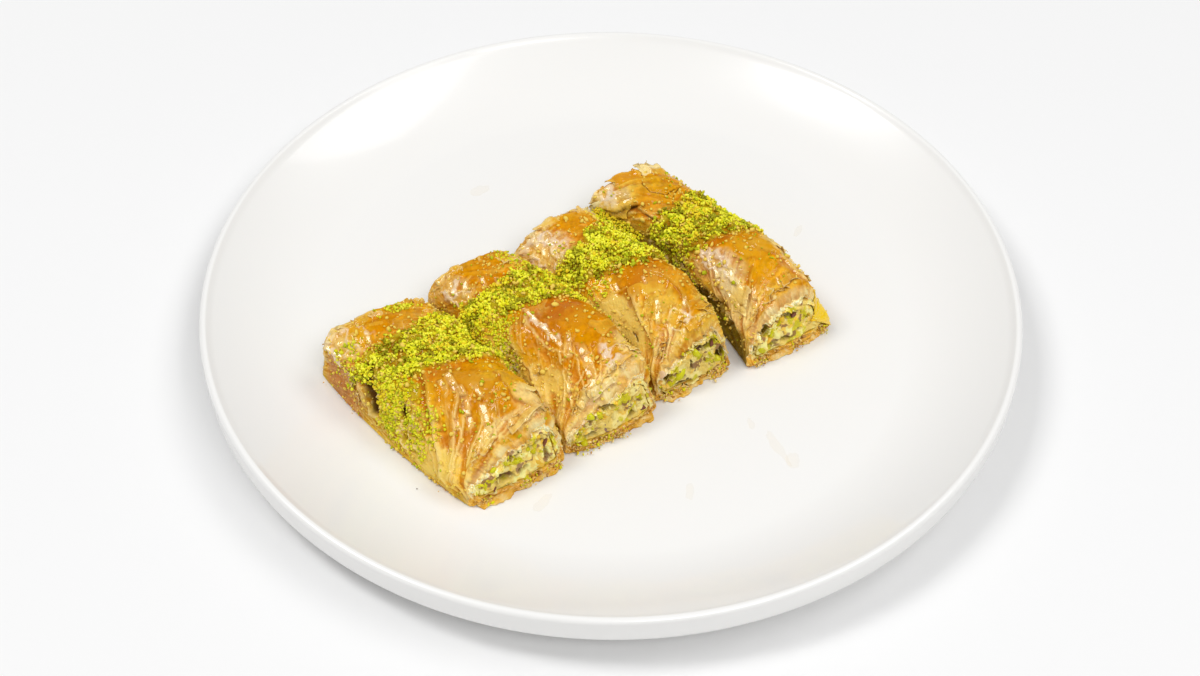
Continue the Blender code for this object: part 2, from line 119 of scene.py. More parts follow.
def new_material(name, colour, roughness, **sockets):
    """A Principled material with its own socket values set directly."""
    made = bpy.data.materials.new(name)
    made.use_nodes = True
    shader = made.node_tree.nodes["Principled BSDF"]
    shader.inputs["Base Color"].default_value = (*colour, 1.0)
    shader.inputs["Roughness"].default_value = roughness
    for socket, value in sockets.items():
        shader.inputs[socket.replace("_", " ")].default_value = value
    return made, made.node_tree, shader


TABLE_SIZE = 4.0
table_mesh = bpy.data.meshes.new("table")
table_mesh.from_pydata([(-TABLE_SIZE, -TABLE_SIZE, 0), (TABLE_SIZE, -TABLE_SIZE, 0),
                        (TABLE_SIZE, TABLE_SIZE, 0), (-TABLE_SIZE, TABLE_SIZE, 0)], [], [(0, 1, 2, 3)])
table = bpy.data.objects.new("table", table_mesh)
scene.collection.objects.link(table)
table_mesh.materials.append(new_material("pale_table", (0.86, 0.86, 0.86), 0.9)[0])

# Plate
# A coupe plate of white porcelain, formed in one piece with a narrow lip, an upright outer wall and a foot
# ring, and glazed white.
PLATE_RADIUS = 0.130
PLATE_HEIGHT = 0.020
WELL_RADIUS = 0.095
WELL_HEIGHT = 0.006
RISE_POWER = 1.7
LIP_WIDTH = 0.0028
WALL_DROP = 0.0088
WALL_THICKNESS = 0.0046
RIM_SWELL = 0.0048
FOOT_OUTER = 0.076
FOOT_INNER = 0.071
FOOT_RECESS = 0.0013
FOOT_SLOPE = 0.0012
FOOT_ROUND = 0.0006
UNDER_RADII = (0.124, 0.119, 0.114, 0.108, 0.102, 0.095)
MIDDLE_RADIUS = 0.004
PLATE_STEPS = 256


def well_surface(radius):
    """Height of the eating face: flat in the well, then rising as a power of the distance beyond it."""
    span = PLATE_RADIUS - LIP_WIDTH / 2 - WELL_RADIUS
    part = np.maximum(0.0, radius - WELL_RADIUS) / span
    return WELL_HEIGHT + (PLATE_HEIGHT - WELL_HEIGHT) * part ** RISE_POWER


def rounded(points, steps):
    """A profile with each corner between its points drawn as a curve: a uniform quadratic spline."""
    points = np.asarray(points)
    middles = (points[:-1] + points[1:]) / 2
    part = np.linspace(0, 1, steps, endpoint=False)[:, None]
    curves = [points[:1]]
    for start, corner, end in zip(middles[:-1], points[1:-1], middles[1:]):
        curves.append(start * (1 - part) ** 2 + 2 * corner * part * (1 - part) + end * part ** 2)
    return np.concatenate(curves + [middles[-1:], points[-1:]])


def grid_faces(rows, columns, close_rows=False, close_columns=False):
    """Four-cornered faces of a grid of points, closed on itself in either direction if asked."""
    row = np.arange(rows if close_rows else rows - 1)
    column = np.arange(columns if close_columns else columns - 1)
    r, c = np.meshgrid(row, column, indexing="ij")
    r_next = (r + 1) % rows
    c_next = (c + 1) % columns
    corners = [r * columns + c, r * columns + c_next, r_next * columns + c_next, r_next * columns + c]
    return np.stack(corners, axis=-1).reshape(-1, 4)


def capped_faces(rows, columns):
    """Triangles of a grid closed round its columns, with a fan at each end to one more point. The first end's
    point comes straight after the grid's, and then the last end's."""
    side = grid_faces(rows, columns, close_columns=True)
    ring = np.arange(columns)
    after = (ring + 1) % columns
    last = (rows - 1) * columns
    first_fan = np.stack([np.full(columns, rows * columns), after, ring], axis=1)
    last_fan = np.stack([np.full(columns, rows * columns + 1), ring + last, after + last], axis=1)
    return np.concatenate([side[:, :3], side[:, [0, 2, 3]], first_fan, last_fan])


def mesh_piece(name, points, faces, material, tint=None, smooth=True, gloss=None):
    """A mesh object of whole arrays: points (n, 3), faces (m, 3 or 4), and a colour and a wetness for each
    point."""
    points = np.asarray(points, dtype=np.float32).reshape(-1, 3)
    mesh = bpy.data.meshes.new(name)
    sides = faces.shape[1]
    mesh.vertices.add(len(points))
    mesh.vertices.foreach_set("co", points.ravel())
    mesh.loops.add(faces.size)
    mesh.loops.foreach_set("vertex_index", faces.astype(np.int32).ravel())
    mesh.polygons.add(len(faces))
    mesh.polygons.foreach_set("loop_start", np.arange(0, faces.size, sides, dtype=np.int32))
    mesh.update(calc_edges=True)
    if tint is not None:
        colours = np.ones((len(points), 4), dtype=np.float32)
        colours[:, :3] = np.asarray(tint).reshape(-1, 3)
        mesh.color_attributes.new("tint", "FLOAT_COLOR", "POINT").data.foreach_set("color", colours.ravel())
    if gloss is not None:
        wet = np.asarray(gloss, dtype=np.float32).ravel()
        mesh.attributes.new("gloss", "FLOAT", "POINT").data.foreach_set("value", wet)
    if smooth:
        mesh.shade_smooth()
    mesh.materials.append(material)
    mesh.validate()
    piece = bpy.data.objects.new(name, mesh)
    scene.collection.objects.link(piece)
    return piece


def under_surface(radius):
    """Height of the outer face: below the eating face by a wall that thickens towards the rim."""
    part = (radius - WELL_RADIUS) / (PLATE_RADIUS - WELL_RADIUS)
    return float(well_surface(radius)) - WALL_THICKNESS - RIM_SWELL * part ** 2


def plate_profile():
    """Radius and height from the middle of the well, over the lip and round to the middle underneath."""
    radii = np.concatenate([np.linspace(MIDDLE_RADIUS, WELL_RADIUS, 12),
                            np.linspace(WELL_RADIUS, PLATE_RADIUS - LIP_WIDTH, 22)[1:]])
    inner = np.stack([radii, well_surface(radii)], axis=1)
    half = LIP_WIDTH / 2
    angle = np.radians(np.linspace(125, -5, 14))
    lip = np.stack([PLATE_RADIUS - half + half * np.cos(angle),
                    PLATE_HEIGHT - half + half * np.sin(angle)], axis=1)
    wall = [(PLATE_RADIUS, PLATE_HEIGHT - WALL_DROP * 0.6), (PLATE_RADIUS - 0.0002, PLATE_HEIGHT - WALL_DROP),
            (PLATE_RADIUS - 0.0016, PLATE_HEIGHT - WALL_DROP - 0.0012)]
    outer = [(radius, under_surface(radius)) for radius in UNDER_RADII]
    foot = [(FOOT_OUTER + FOOT_SLOPE, WELL_HEIGHT - WALL_THICKNESS), (FOOT_OUTER, 0.0),
            (FOOT_OUTER - FOOT_ROUND, 0.0), (FOOT_INNER + FOOT_ROUND, 0.0), (FOOT_INNER, 0.0),
            (FOOT_INNER - FOOT_SLOPE, FOOT_RECESS)]
    middle = [(0.03, FOOT_RECESS), (MIDDLE_RADIUS, FOOT_RECESS)]
    lower = rounded([tuple(lip[-1])] + wall + outer + foot + middle, 5)
    return np.concatenate([inner, lip[:-1], lower])


def turned(profile, steps):
    """The points of a profile turned about +Z, and the two points on the axis that close its ends."""
    angle = 2 * np.pi * np.arange(steps) / steps
    x = profile[:, :1] * np.cos(angle)
    y = profile[:, :1] * np.sin(angle)
    z = np.repeat(profile[:, 1:], steps, axis=1)
    ends = [[0, 0, profile[0, 1]], [0, 0, profile[-1, 1]]]
    return np.concatenate([np.stack([x, y, z], axis=-1).reshape(-1, 3), ends])


def plate_mesh(material):
    """The turned profile as one closed mesh. It runs from the top outwards and under, so its triangles are
    reversed to face out."""
    profile = plate_profile()
    triangles = capped_faces(len(profile), PLATE_STEPS)[:, ::-1]
    return mesh_piece("white_plate", turned(profile, PLATE_STEPS), triangles, material)


def noise_bump(tree, shader, scale, detail, strength, distance, socket="Normal"):
    """Relief too fine for the mesh: cloudy noise on the object's own coordinates, read as height."""
    place = tree.nodes.new("ShaderNodeTexCoord")
    noise = tree.nodes.new("ShaderNodeTexNoise")
    noise.inputs["Scale"].default_value = scale
    noise.inputs["Detail"].default_value = detail
    tree.links.new(place.outputs["Object"], noise.inputs["Vector"])
    bump = tree.nodes.new("ShaderNodeBump")
    bump.inputs["Strength"].default_value = strength
    bump.inputs["Distance"].default_value = distance
    tree.links.new(noise.outputs["Fac"], bump.inputs["Height"])
    tree.links.new(bump.outputs["Normal"], shader.inputs[socket])


glaze, glaze_tree, glaze_shader = new_material(
    "white_glaze", (0.882, 0.875, 0.857), 0.30, Coat_Weight=0.5, Coat_Roughness=0.09, Coat_IOR=1.5)
noise_bump(glaze_tree, glaze_shader, 55.0, 2.0, 0.05, 0.001)
plate = plate_mesh(glaze)
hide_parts("plate")
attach(plate, "root")

# Pastry rolls
# Each roll is many thin wheat sheets, buttered, folded over a nut filling into a tall front lobe and a low
# back lobe, cut at both ends, baked amber on top and soaked in syrup. Made as one closed surface of rings:
# the skin from cut to cut, the back cut, the tunnel for the filling and the front cut.
REST_GAP = 0.0003
ROLL_BASE = WELL_HEIGHT + REST_GAP
SEAM_GAP = 0.00018
ROW_FRONT = -0.042
ROW_BACK = 0.028
SIDE_WALL = 0.0032
TOP_WALL = 0.0050
FLOOR_WALL = 0.0028
CORNER_ROUND = 0.0010
FACE_LEAN = 0.0034
BACK_LEAN = 0.0012
FACE_HEIGHT = 0.020
ARCH_WIDTH_POWER = 0.78
ARCH_HEIGHT_POWER = 0.42
SADDLE_LINE = 0.006
SKEW_LENGTH = 0.040
BULGE_FADE = 4
BULGE_POWER = 0.8
EDGE_ROUND = 0.0022
EDGE_LENGTH = 0.0045
EDGE_LOW = 0.006
EDGE_HIGH = 0.016
RIGHT_SHOULDER = 0.0165
LEFT_LEAN = 0.0012
CREST_LENGTH = 0.017
BACK_CREST_LENGTH = 0.0102
BAND_EDGE = 0.0025

SEAM_0 = (-0.0795, -0.0875, -0.0906)
SEAM_1 = (-0.0446, -0.0462, -0.0520)
SEAM_2 = (-0.0100, -0.0104, -0.0185)
SEAM_3_LEFT = (0.0196, 0.0200, 0.0135)
SEAM_3_RIGHT = (0.0228, 0.0246, 0.0160)
SEAM_4 = (0.0568, 0.0548, 0.0500)

# Each measure of the four rolls, from left to right
ROLL_MEASURES = {
    "front": (-0.0420, -0.0405, -0.0385, -0.0425),
    "back": (0.0275, 0.0295, 0.0315, 0.0350),
    "left": (SEAM_0, SEAM_1, SEAM_2, SEAM_3_RIGHT),
    "right": (SEAM_1, SEAM_2, SEAM_3_LEFT, SEAM_4),
    "front_top": (0.0290, 0.0302, 0.0298, 0.0300),
    "saddle": (0.0243, 0.0250, 0.0252, 0.0255),
    "back_top": (0.0276, 0.0292, 0.0272, 0.0292),
    "front_crest": (-0.021, -0.016, -0.015, -0.018),
    "back_crest": (0.021, 0.022, 0.026, 0.026),
    "front_peak": (0.76, 0.76, 0.72, 0.64),
    "back_peak": (0.46, 0.50, 0.62, 0.42),
    "left_shoulder": (0.0140, 0.0140, 0.0140, 0.0150),
    "left_rise": (0.0045, 0.0020, 0.0020, 0.0035),
    "right_lean": (0.0012, 0.0012, 0.0012, 0.0038),
    "bulge": (0.0022, 0.0028, 0.0010, 0.0010),
    "saddle_line": (0.006, 0.008, 0.010, 0.004),
    "caves": (0.05, 0.0, 0.4, 0.25),
    "seed": (11, 12, 13, 14),
}
ROLLS = {k + 1: {name: values[k] for name, values in ROLL_MEASURES.items()} for k in range(4)}

SKIN_COLUMNS = 268
FLOOR_COLUMNS = 30
AROUND = SKIN_COLUMNS + FLOOR_COLUMNS
SKIN_ROWS = 236
FRONT_RINGS = 48
BACK_RINGS = 30
FRONT_SHEETS = 15
BACK_SHEETS = 12
TUNNEL_ROWS = 4
WALL_POINTS = 24
ARCH_POINTS = 180


def through(values, y):
    """A parabola through three values, at the row's front, middle and back."""
    part = (y - ROW_FRONT) / (ROW_BACK - ROW_FRONT)
    first, middle, last = values
    bend = 2 * (first + last - 2 * middle)
    return first + (last - first - bend) * part + bend * part * part


def bell(distance, reach):
    """One at no distance, falling smoothly to nothing."""
    return np.exp(-(distance / reach) ** 2)


def step_up(value):
    """A smooth step from 0 to 1."""
    part = np.clip(value, 0.0, 1.0)
    return part * part * (3 - 2 * part)


def cloud(points, size, seed, octaves=3):
    """Soft random values from about -1 to 1 over space: random numbers at the corners of a lattice of the
    given size, blended in between, and finer lattices added at half the strength each."""
    total = 0.0
    strength = 1.0
    primes = np.array([374761393, 668265263, 1103515245], dtype=np.int64)
    for octave in range(octaves):
        place = points * (2.0 ** octave / size) + 31.7 * seed + 7.3 * octave
        cell = np.floor(place).astype(np.int64)
        part = place - cell
        part = part * part * (3 - 2 * part)
        value = 0.0
        for corner in range(8):
            step = np.array([corner & 1, (corner >> 1) & 1, (corner >> 2) & 1])
            key = ((cell + step) * primes).sum(axis=-1)
            key = (key ^ (key >> 13)) * 1274126177
            key = (key ^ (key >> 16)) & 0xFFFF
            weight = np.prod(np.where(step, part, 1 - part), axis=-1)
            value = value + (key / 32767.5 - 1) * weight
        total = total + value * strength
        strength *= 0.5
    return total


def evenly(values, lengths, count):
    """Each row's values at count places spaced evenly along its length."""
    part = np.linspace(0, 1, count)
    return np.array([np.interp(part * length[-1], length, value) for value, length in zip(values, lengths)])


def cross_section(roll, y, side=0.0, top=0.0, floor=0.0):
    """Closed cross-sections at the stations y, inset from the skin: up the left side, over the arch, down
    the right side and back along the floor. The arch is a superellipse whose peak moves to the right
    towards the front."""
    y = y[:, None]
    left = through(roll["left"], y) + SEAM_GAP + side
    right = through(roll["right"], y) - SEAM_GAP - side
    base = ROLL_BASE + floor
    saddle = roll["saddle"]
    crest = saddle + (roll["front_top"] - saddle) * bell(y - roll["front_crest"], CREST_LENGTH)
    crest = crest + (roll["back_top"] - saddle) * bell(y - roll["back_crest"], BACK_CREST_LENGTH) - top
    forward = step_up((SADDLE_LINE - y) / SKEW_LENGTH)
    peak = roll["back_peak"] + (roll["front_peak"] - roll["back_peak"]) * forward
    left_shoulder = roll["left_shoulder"] + roll["left_rise"] * (1 - forward) - top * 0.3
    right_shoulder = RIGHT_SHOULDER - top * 0.3 + 0 * y
    up = np.linspace(0, 1, WALL_POINTS)[None, :] ** 1.5
    below_round = 1 - np.clip(up * (left_shoulder - base) / CORNER_ROUND, 0, 1)
    tuck = CORNER_ROUND * (1 - np.sqrt(1 - below_round ** 2))
    left_x = left + LEFT_LEAN * up + tuck
    left_z = base + (left_shoulder - base) * up
    right_x = right - roll["right_lean"] * up - tuck
    right_z = base + (right_shoulder - base) * up
    cosine = np.cos(np.pi * (1 - np.linspace(0, 1, ARCH_POINTS + 2)[1:-1]))[None, :]
    middle = (left + LEFT_LEAN + right - roll["right_lean"]) / 2
    half = (right - roll["right_lean"] - left - LEFT_LEAN) / 2
    arch_x = middle + half * np.sign(cosine) * np.abs(cosine) ** ARCH_WIDTH_POWER
    shifted = ((1 + cosine) / 2) ** (math.log(0.5) / np.log(peak))
    springing = left_shoulder * (1 - cosine) / 2 + right_shoulder * (1 + cosine) / 2
    mean_shoulder = (left_shoulder + right_shoulder) / 2
    arch_z = springing + (crest - mean_shoulder) * (4 * shifted * (1 - shifted)) ** ARCH_HEIGHT_POWER
    x = np.concatenate([left_x, arch_x, right_x[:, ::-1]], axis=1)
    z = np.concatenate([left_z, arch_z, right_z[:, ::-1]], axis=1)
    steps = [np.diff(values, axis=1, prepend=values[:, :1]) for values in (x, z)]
    lengths = np.cumsum(np.hypot(*steps), axis=1)
    skin_x = evenly(x, lengths, SKIN_COLUMNS)
    skin_z = evenly(z, lengths, SKIN_COLUMNS)
    part = np.linspace(0, 1, FLOOR_COLUMNS + 2)[None, 1:-1]
    floor_x = skin_x[:, -1:] * (1 - part) + skin_x[:, :1] * part
    return np.concatenate([skin_x, floor_x], axis=1), np.concatenate([skin_z, base + 0 * floor_x], axis=1)


def lean_cuts(roll, y, x, z):
    """Lay both cut faces back and let the front one bulge: a point's y, given its station and place."""
    y = y[:, None]
    left = through(roll["left"], y)
    across = np.clip((x - left) / (through(roll["right"], y) - left), 0, 1)
    height = (z - ROLL_BASE) / FACE_HEIGHT
    part = (y - roll["front"]) / (roll["back"] - roll["front"])
    bulge = roll["bulge"] * (4 * across * (1 - across)) ** BULGE_POWER * (1 - part) ** BULGE_FADE
    return y + FACE_LEAN * height * (1 - part) - BACK_LEAN * height * part - bulge


def roll_grid(roll, rows, side=0.0, top=0.0, floor=0.0):
    """Rows of cross-sections from the front cut to the back cut, as points."""
    y = np.linspace(roll["front"], roll["back"], rows)
    x, z = cross_section(roll, y, side, top, floor)
    return np.stack([x, lean_cuts(roll, y, x, z), z], axis=-1)


def tunnel_grid(roll, rows, gap=0.0):
    """Sections of the tunnel inside a roll's walls, or of a core that keeps a gap from them."""
    return roll_grid(roll, rows, SIDE_WALL + gap, TOP_WALL + gap, FLOOR_WALL + gap)


def outward(points):
    """Unit normals of a roll's grid: across its columns times along its rows."""
    wrapped = np.concatenate([points[:, -1:], points, points[:, :1]], axis=1)
    across = wrapped[:, 2:] - wrapped[:, :-2]
    along = np.gradient(points, axis=0)
    normal = np.cross(across, along)
    return normal / np.maximum(np.linalg.norm(normal, axis=-1, keepdims=True), 1e-12)


def linear(red, green, blue):
    """A colour as seen, 0 to 255, as the linear values that a shader takes."""
    seen = np.array([red, green, blue]) / 255
    return np.where(seen <= 0.04045, seen / 12.92, ((seen + 0.055) / 1.055) ** 2.4)


AMBER = linear(220, 146, 0)
DEEP_AMBER = linear(204, 114, 0)
HONEY = linear(230, 168, 8)
STRAW = linear(242, 196, 70)
CREAM = linear(250, 226, 156)
WHITE_ROSE = linear(252, 234, 214)
GLASS_PALE = linear(240, 226, 168)
GLASS_CREAM = linear(252, 222, 142)
SILVER_TAN = linear(226, 194, 140)
KHAKI = linear(214, 174, 50)
PALE_KHAKI = linear(236, 204, 100)
PANEL_BROWN = linear(196, 132, 72)
CRUST_OCHRE = linear(234, 178, 62)
SINGED = linear(168, 94, 10)
# Dark brown: painted shade in hollows, holes, cracks and grooves, and the colour of one dark crumb
CRUMB_AND_SHADE_BROWN = linear(74, 42, 12)
OLIVE = linear(180, 164, 16)
WALL_SHADE_OLIVE = linear(106, 88, 12)
GLASSY_YELLOW = linear(242, 180, 20)
PASTE = linear(228, 198, 100)
PASTE_PALE = linear(244, 226, 142)
NUT_GREEN = linear(204, 192, 10)
NUT_YELLOW = linear(242, 192, 60)
NUT_SKIN = linear(128, 76, 58)
NUT_GAP_SHADE = linear(92, 62, 20)

# Folds of the outer sheets, as seen: kind, height and half width in mm, and a line of places (share of the
# way across the skin, y in mm), drawn from back to front. A ridge stands up on both sides, a groove sinks,
# and an edge is the border of a sheet that lies on the right of the line.
FOLDS = {
    1: (("edge", 1.25, 0.8,
         ((0.47, -2), (0.40, -8.3), (0.29, -17.9), (0.19, -24.6), (0.13, -30.7), (0.03, -38))),
        ("edge", 0.60, 0.4, ((0.20, -20), (0.176, -22.1), (0.135, -25.9), (0.075, -30.6), (0.02, -36.5))),
        ("ridge", 0.40, 0.8, ((0.483, -13), (0.427, -15.3), (0.375, -18.7))),
        ("ridge", 0.60, 0.8, ((0.464, -17.6), (0.378, -22), (0.315, -25.7), (0.22, -30.5), (0.10, -36))),
        ("ridge", 0.55, 0.8, ((0.386, -24.8), (0.33, -27.6), (0.255, -30.5), (0.14, -34.8), (0.06, -39))),
        ("ridge", 0.45, 0.8, ((0.464, -26.5), (0.378, -31.3), (0.29, -34), (0.18, -38))),
        ("ridge", 0.30, 0.5, ((0.427, -32.9), (0.36, -36.5))),
        ("ridge", 0.7, 1.0, ((0.27, 13), (0.245, 9), (0.20, 5.5), (0.15, 2), (0.09, -1.5))),
        ("groove", 3.0, 3.9,
         ((0.31, 9.5), (0.29, 7.0), (0.255, 4.0), (0.21, 1.0), (0.17, -1.5), (0.12, -4.0))),
        ("groove", 2.2, 1.5, ((0.262, -8.8), (0.243, -11.0), (0.225, -12.8))),
        ("edge", 0.5, 0.4, ((0.62, -17), (0.60, -24), (0.58, -30), (0.63, -36))),
        ("ridge", 0.35, 0.6, ((0.47, 25), (0.40, 21), (0.36, 14)))),
    2: (("ridge", 0.45, 0.7, ((0.40, 25.5), (0.333, 24.4), (0.27, 20))),
        ("ridge", 0.45, 0.6, ((0.42, 20.5), (0.378, 19.6), (0.30, 15.4))),
        ("ridge", 0.35, 0.5, ((0.44, 18.5), (0.39, 17.2), (0.335, 14))),
        ("ridge", 0.22, 0.35, ((0.56, 28), (0.61, 20), (0.60, 13.5))),
        ("ridge", 0.22, 0.35, ((0.60, 28), (0.65, 20), (0.64, 13.5))),
        ("ridge", 0.22, 0.35, ((0.64, 28), (0.69, 20), (0.68, 13.5))),
        ("ridge", 0.45, 1.1,
         ((0.44, 0), (0.378, -7.5), (0.356, -13.5), (0.35, -18), (0.38, -21.4), (0.442, -18.1))),
        ("ridge", 0.45, 0.6, ((0.446, -20.4), (0.401, -25.6), (0.36, -31.4), (0.33, -36))),
        ("ridge", 0.45, 0.6, ((0.50, -22.4), (0.442, -30.5), (0.40, -35))),
        ("ridge", 0.35, 0.5, ((0.52, -28), (0.47, -32), (0.419, -35.1))),
        ("ridge", 0.50, 0.5, ((0.326, -24.2), (0.273, -29.6), (0.187, -34.7))),
        ("ridge", 0.45, 0.5, ((0.34, -26.2), (0.292, -30.2), (0.24, -35.5))),
        ("ridge", 0.40, 0.8, ((0.24, -22), (0.17, -28), (0.08, -35))),
        ("edge", 0.70, 0.6, ((0.36, -1), (0.26, -7), (0.225, -12), (0.22, -17), (0.17, -22), (0.10, -29)))),
    3: (("ridge", 0.60, 0.8, ((0.47, 27), (0.386, 25.8), (0.24, 24.0))),
        ("ridge", 0.55, 0.6, ((0.46, 23.5), (0.36, 22.8), (0.22, 20.5))),
        ("ridge", 0.55, 0.7, ((0.44, 20.5), (0.34, 20), (0.22, 17.5))),
        ("ridge", 0.40, 0.5, ((0.42, 18.5), (0.32, 17), (0.22, 14.5))),
        ("ridge", 0.40, 0.5, ((0.31, -5.0), (0.322, -6.1), (0.385, -8.9))),
        ("edge", 0.75, 0.6, ((0.385, -8.9), (0.375, -10.1), (0.337, -14.6), (0.296, -20.8), (0.262, -29.7))),
        ("ridge", 0.55, 0.5, ((0.385, -8.9), (0.365, -11), (0.337, -14.6), (0.296, -20.8), (0.262, -30))),
        ("ridge", 0.25, 1.2, ((0.491, -13.2), (0.431, -20.5), (0.367, -26))),
        ("edge", 0.40, 0.5, ((0.50, -6), (0.53, -12), (0.545, -20), (0.53, -28), (0.50, -34))),
        ("ridge", 0.60, 0.6, ((0.41, -28.3), (0.326, -33.2), (0.25, -37))),
        ("ridge", 0.50, 0.5, ((0.37, -28), (0.30, -32.5), (0.21, -36))),
        ("ridge", 0.50, 0.5, ((0.30, -28), (0.23, -31.7), (0.14, -36))),
        ("groove", 0.35, 0.6, ((0.232, -19.6), (0.221, -21.6), (0.205, -24)))),
    4: (("groove", 1.5, 0.7, ((0.20, 31), (0.236, 29.4), (0.262, 24.2), (0.315, 21.0), (0.37, 18.8))),
        ("edge", 0.7, 0.5, ((0.20, 31), (0.25, 27), (0.29, 22), (0.345, 19.4), (0.34, 12), (0.335, 7))),
        ("groove", 0.5, 0.4, ((0.34, 16.9), (0.345, 11.0), (0.337, 6.7))),
        ("groove", 0.45, 0.3, ((0.49, 27), (0.464, 24.7), (0.453, 21.2), (0.513, 18.3), (0.633, 20.2))),
        ("groove", 0.45, 0.3, ((0.633, 20.2), (0.55, 17.5), (0.476, 13.8))),
        ("ridge", 0.45, 0.6, ((0.43, -8), (0.348, -11.1), (0.236, -17.6), (0.16, -23))),
        ("ridge", 0.35, 0.6, ((0.44, -14), (0.36, -17.5), (0.25, -21.5), (0.16, -27))),
        ("ridge", 0.35, 0.6, ((0.43, -18), (0.33, -23), (0.24, -27), (0.14, -33))),
        ("ridge", 0.30, 0.6, ((0.45, -24), (0.36, -29), (0.25, -34), (0.16, -38))),
        ("edge", 0.55, 0.5, ((0.52, -14), (0.528, -20), (0.60, -25.7), (0.625, -33.2), (0.667, -38))),
        ("ridge", 0.40, 0.8, ((0.60, -12), (0.66, -20), (0.68, -30)))),
}

# Colours of single places, as seen: share across, y, reach across and along in mm, turn in degrees,
# colour, strength
STAINS = {
    1: ((0.47, -8, 6, 5, 0, DEEP_AMBER, 0.9), (0.47, -20, 9, 10, 20, AMBER, 0.9),
        (0.64, -22, 5, 10, 10, HONEY, 0.9), (0.27, -29, 5, 6, 30, DEEP_AMBER, 0.6),
        (0.16, -34, 4, 4, 30, HONEY, 0.8), (0.50, -36.5, 12, 3.2, 0, GLASS_CREAM, 0.8),
        (0.64, -33, 4, 6, 0, GLASS_CREAM, 0.8), (0.55, 19, 7, 4.5, 0, AMBER, 0.8),
        (0.37, 21, 6, 4, 20, HONEY, 0.9), (0.29, 18, 4, 6, 0, GLASS_CREAM, 0.7),
        (0.30, -5, 5, 7, 20, OLIVE, 0.8), (0.27, -16, 4, 5, 20, KHAKI, 0.8),
        (0.11, 14, 9, 12, 0, PANEL_BROWN, 1.0), (0.17, -9, 8, 11, 0, KHAKI, 0.9),
        (0.12, -26, 6, 10, 20, PALE_KHAKI, 0.85), (0.05, 2, 4, 5, 0, KHAKI, 0.6)),
    2: ((0.47, 21, 9, 6, 0, AMBER, 0.95), (0.30, 21, 5, 7, 0, SILVER_TAN, 0.4),
        (0.64, 20, 3, 8, 0, STRAW, 0.6), (0.54, -5, 9, 7, 0, DEEP_AMBER, 1.0),
        (0.44, -14, 8, 8, 10, DEEP_AMBER, 0.8), (0.55, -20, 8, 9, 0, AMBER, 0.9),
        (0.34, -23, 6, 8, 20, AMBER, 0.8), (0.18, -7, 7, 9, 0, KHAKI, 0.95),
        (0.23, -25, 5, 8, 20, PALE_KHAKI, 0.75), (0.12, -31, 5, 6, 20, KHAKI, 0.6),
        (0.45, -35.5, 10, 3, 0, GLASS_CREAM, 0.8), (0.66, -30, 4, 7, 0, GLASS_CREAM, 0.8),
        (0.17, -13, 1.6, 1.2, 0, CRUMB_AND_SHADE_BROWN, 0.9)),
    3: ((0.32, 22, 8, 7, 0, SILVER_TAN, 0.55), (0.53, 22, 4.5, 4.5, 0, AMBER, 0.95),
        (0.52, -6, 9, 6, 0, AMBER, 1.0), (0.50, -7, 8, 6, 0, DEEP_AMBER, 0.6),
        (0.21, -14, 8, 13, 10, PALE_KHAKI, 0.9), (0.311, -13.2, 0.9, 0.9, 0, SINGED, 0.6),
        (0.24, -15.1, 0.8, 0.8, 0, SINGED, 0.6), (0.221, -21.6, 0.6, 1.6, 0, SINGED, 0.5),
        (0.42, -21, 5.5, 9, 10, STRAW, 0.75), (0.37, -13, 2.2, 5, 10, AMBER, 0.8),
        (0.59, -19, 3.2, 11, 0, AMBER, 0.9), (0.32, -33, 6, 3.5, 0, GLASS_CREAM, 0.85),
        (0.66, -28, 4, 8, 0, STRAW, 0.8), (0.50, -35, 9, 3, 0, STRAW, 0.8)),
    4: ((0.34, 29, 8, 7, 0, STRAW, 0.95), (0.34, 27, 4, 4, 0, SILVER_TAN, 0.6),
        (0.51, 22, 6, 8, 0, HONEY, 0.8), (0.28, 21.5, 1.4, 6, 60, CRUMB_AND_SHADE_BROWN, 0.8),
        (0.48, -9, 9, 3.5, 0, DEEP_AMBER, 0.8), (0.52, -21, 6, 9, 0, HONEY, 0.6),
        (0.32, -17, 6, 9, 20, SILVER_TAN, 0.6), (0.23, -29, 6, 9, 20, GLASS_CREAM, 0.85),
        (0.29, -22, 5, 5, 20, GLASS_PALE, 0.6), (0.66, -24, 4, 11, 0, GLASS_CREAM, 0.85),
        (0.48, -34, 8, 3.5, 0, STRAW, 0.6), (0.85, -36, 10, 9, 0, GLASSY_YELLOW, 0.85),
        (0.27, 12, 4, 7, 0, KHAKI, 0.8), (0.22, 4, 6, 9, 0, OLIVE, 0.7), (0.12, -10, 6, 20, 0, KHAKI, 0.7)),
}

# The wall in the narrow gap, painted dark as painted shade: share across, y, reach across and along in mm,
# colour, strength
GAP_WALL_SHADE = {4: (0.04, -15, 8.5, 32, WALL_SHADE_OLIVE, 0.85)}

# Where the outer sheets have crumbled away: share across, y, reach across and along in mm
CRUMBLY = {
    1: ((0.18, -8, 8, 9), (0.12, -16, 4, 5), (0.90, -22, 6, 22)),
    2: ((0.17, -7, 6, 8), (0.88, -20, 6, 20), (0.10, -24, 4, 14)),
    3: ((0.10, -18, 4, 20), (0.90, -14, 5, 20)),
    4: ((0.22, 2, 6, 10), (0.10, -14, 5, 22), (0.88, -5, 6, 24)),
}

# Where the outermost sheet lies smooth and glassy: share across, y, reach across and along in mm
SMOOTH = {
    1: ((0.12, -27, 6, 9), (0.52, -18, 4, 6)),
    2: ((0.20, -10, 5, 7), (0.54, -10, 5, 7), (0.25, -24, 4, 6)),
    3: ((0.22, -15, 7, 11), (0.48, -12, 5, 6)),
    4: ((0.52, -18, 4, 6), (0.27, -29, 4, 7), (0.30, -22, 4, 5)),
}
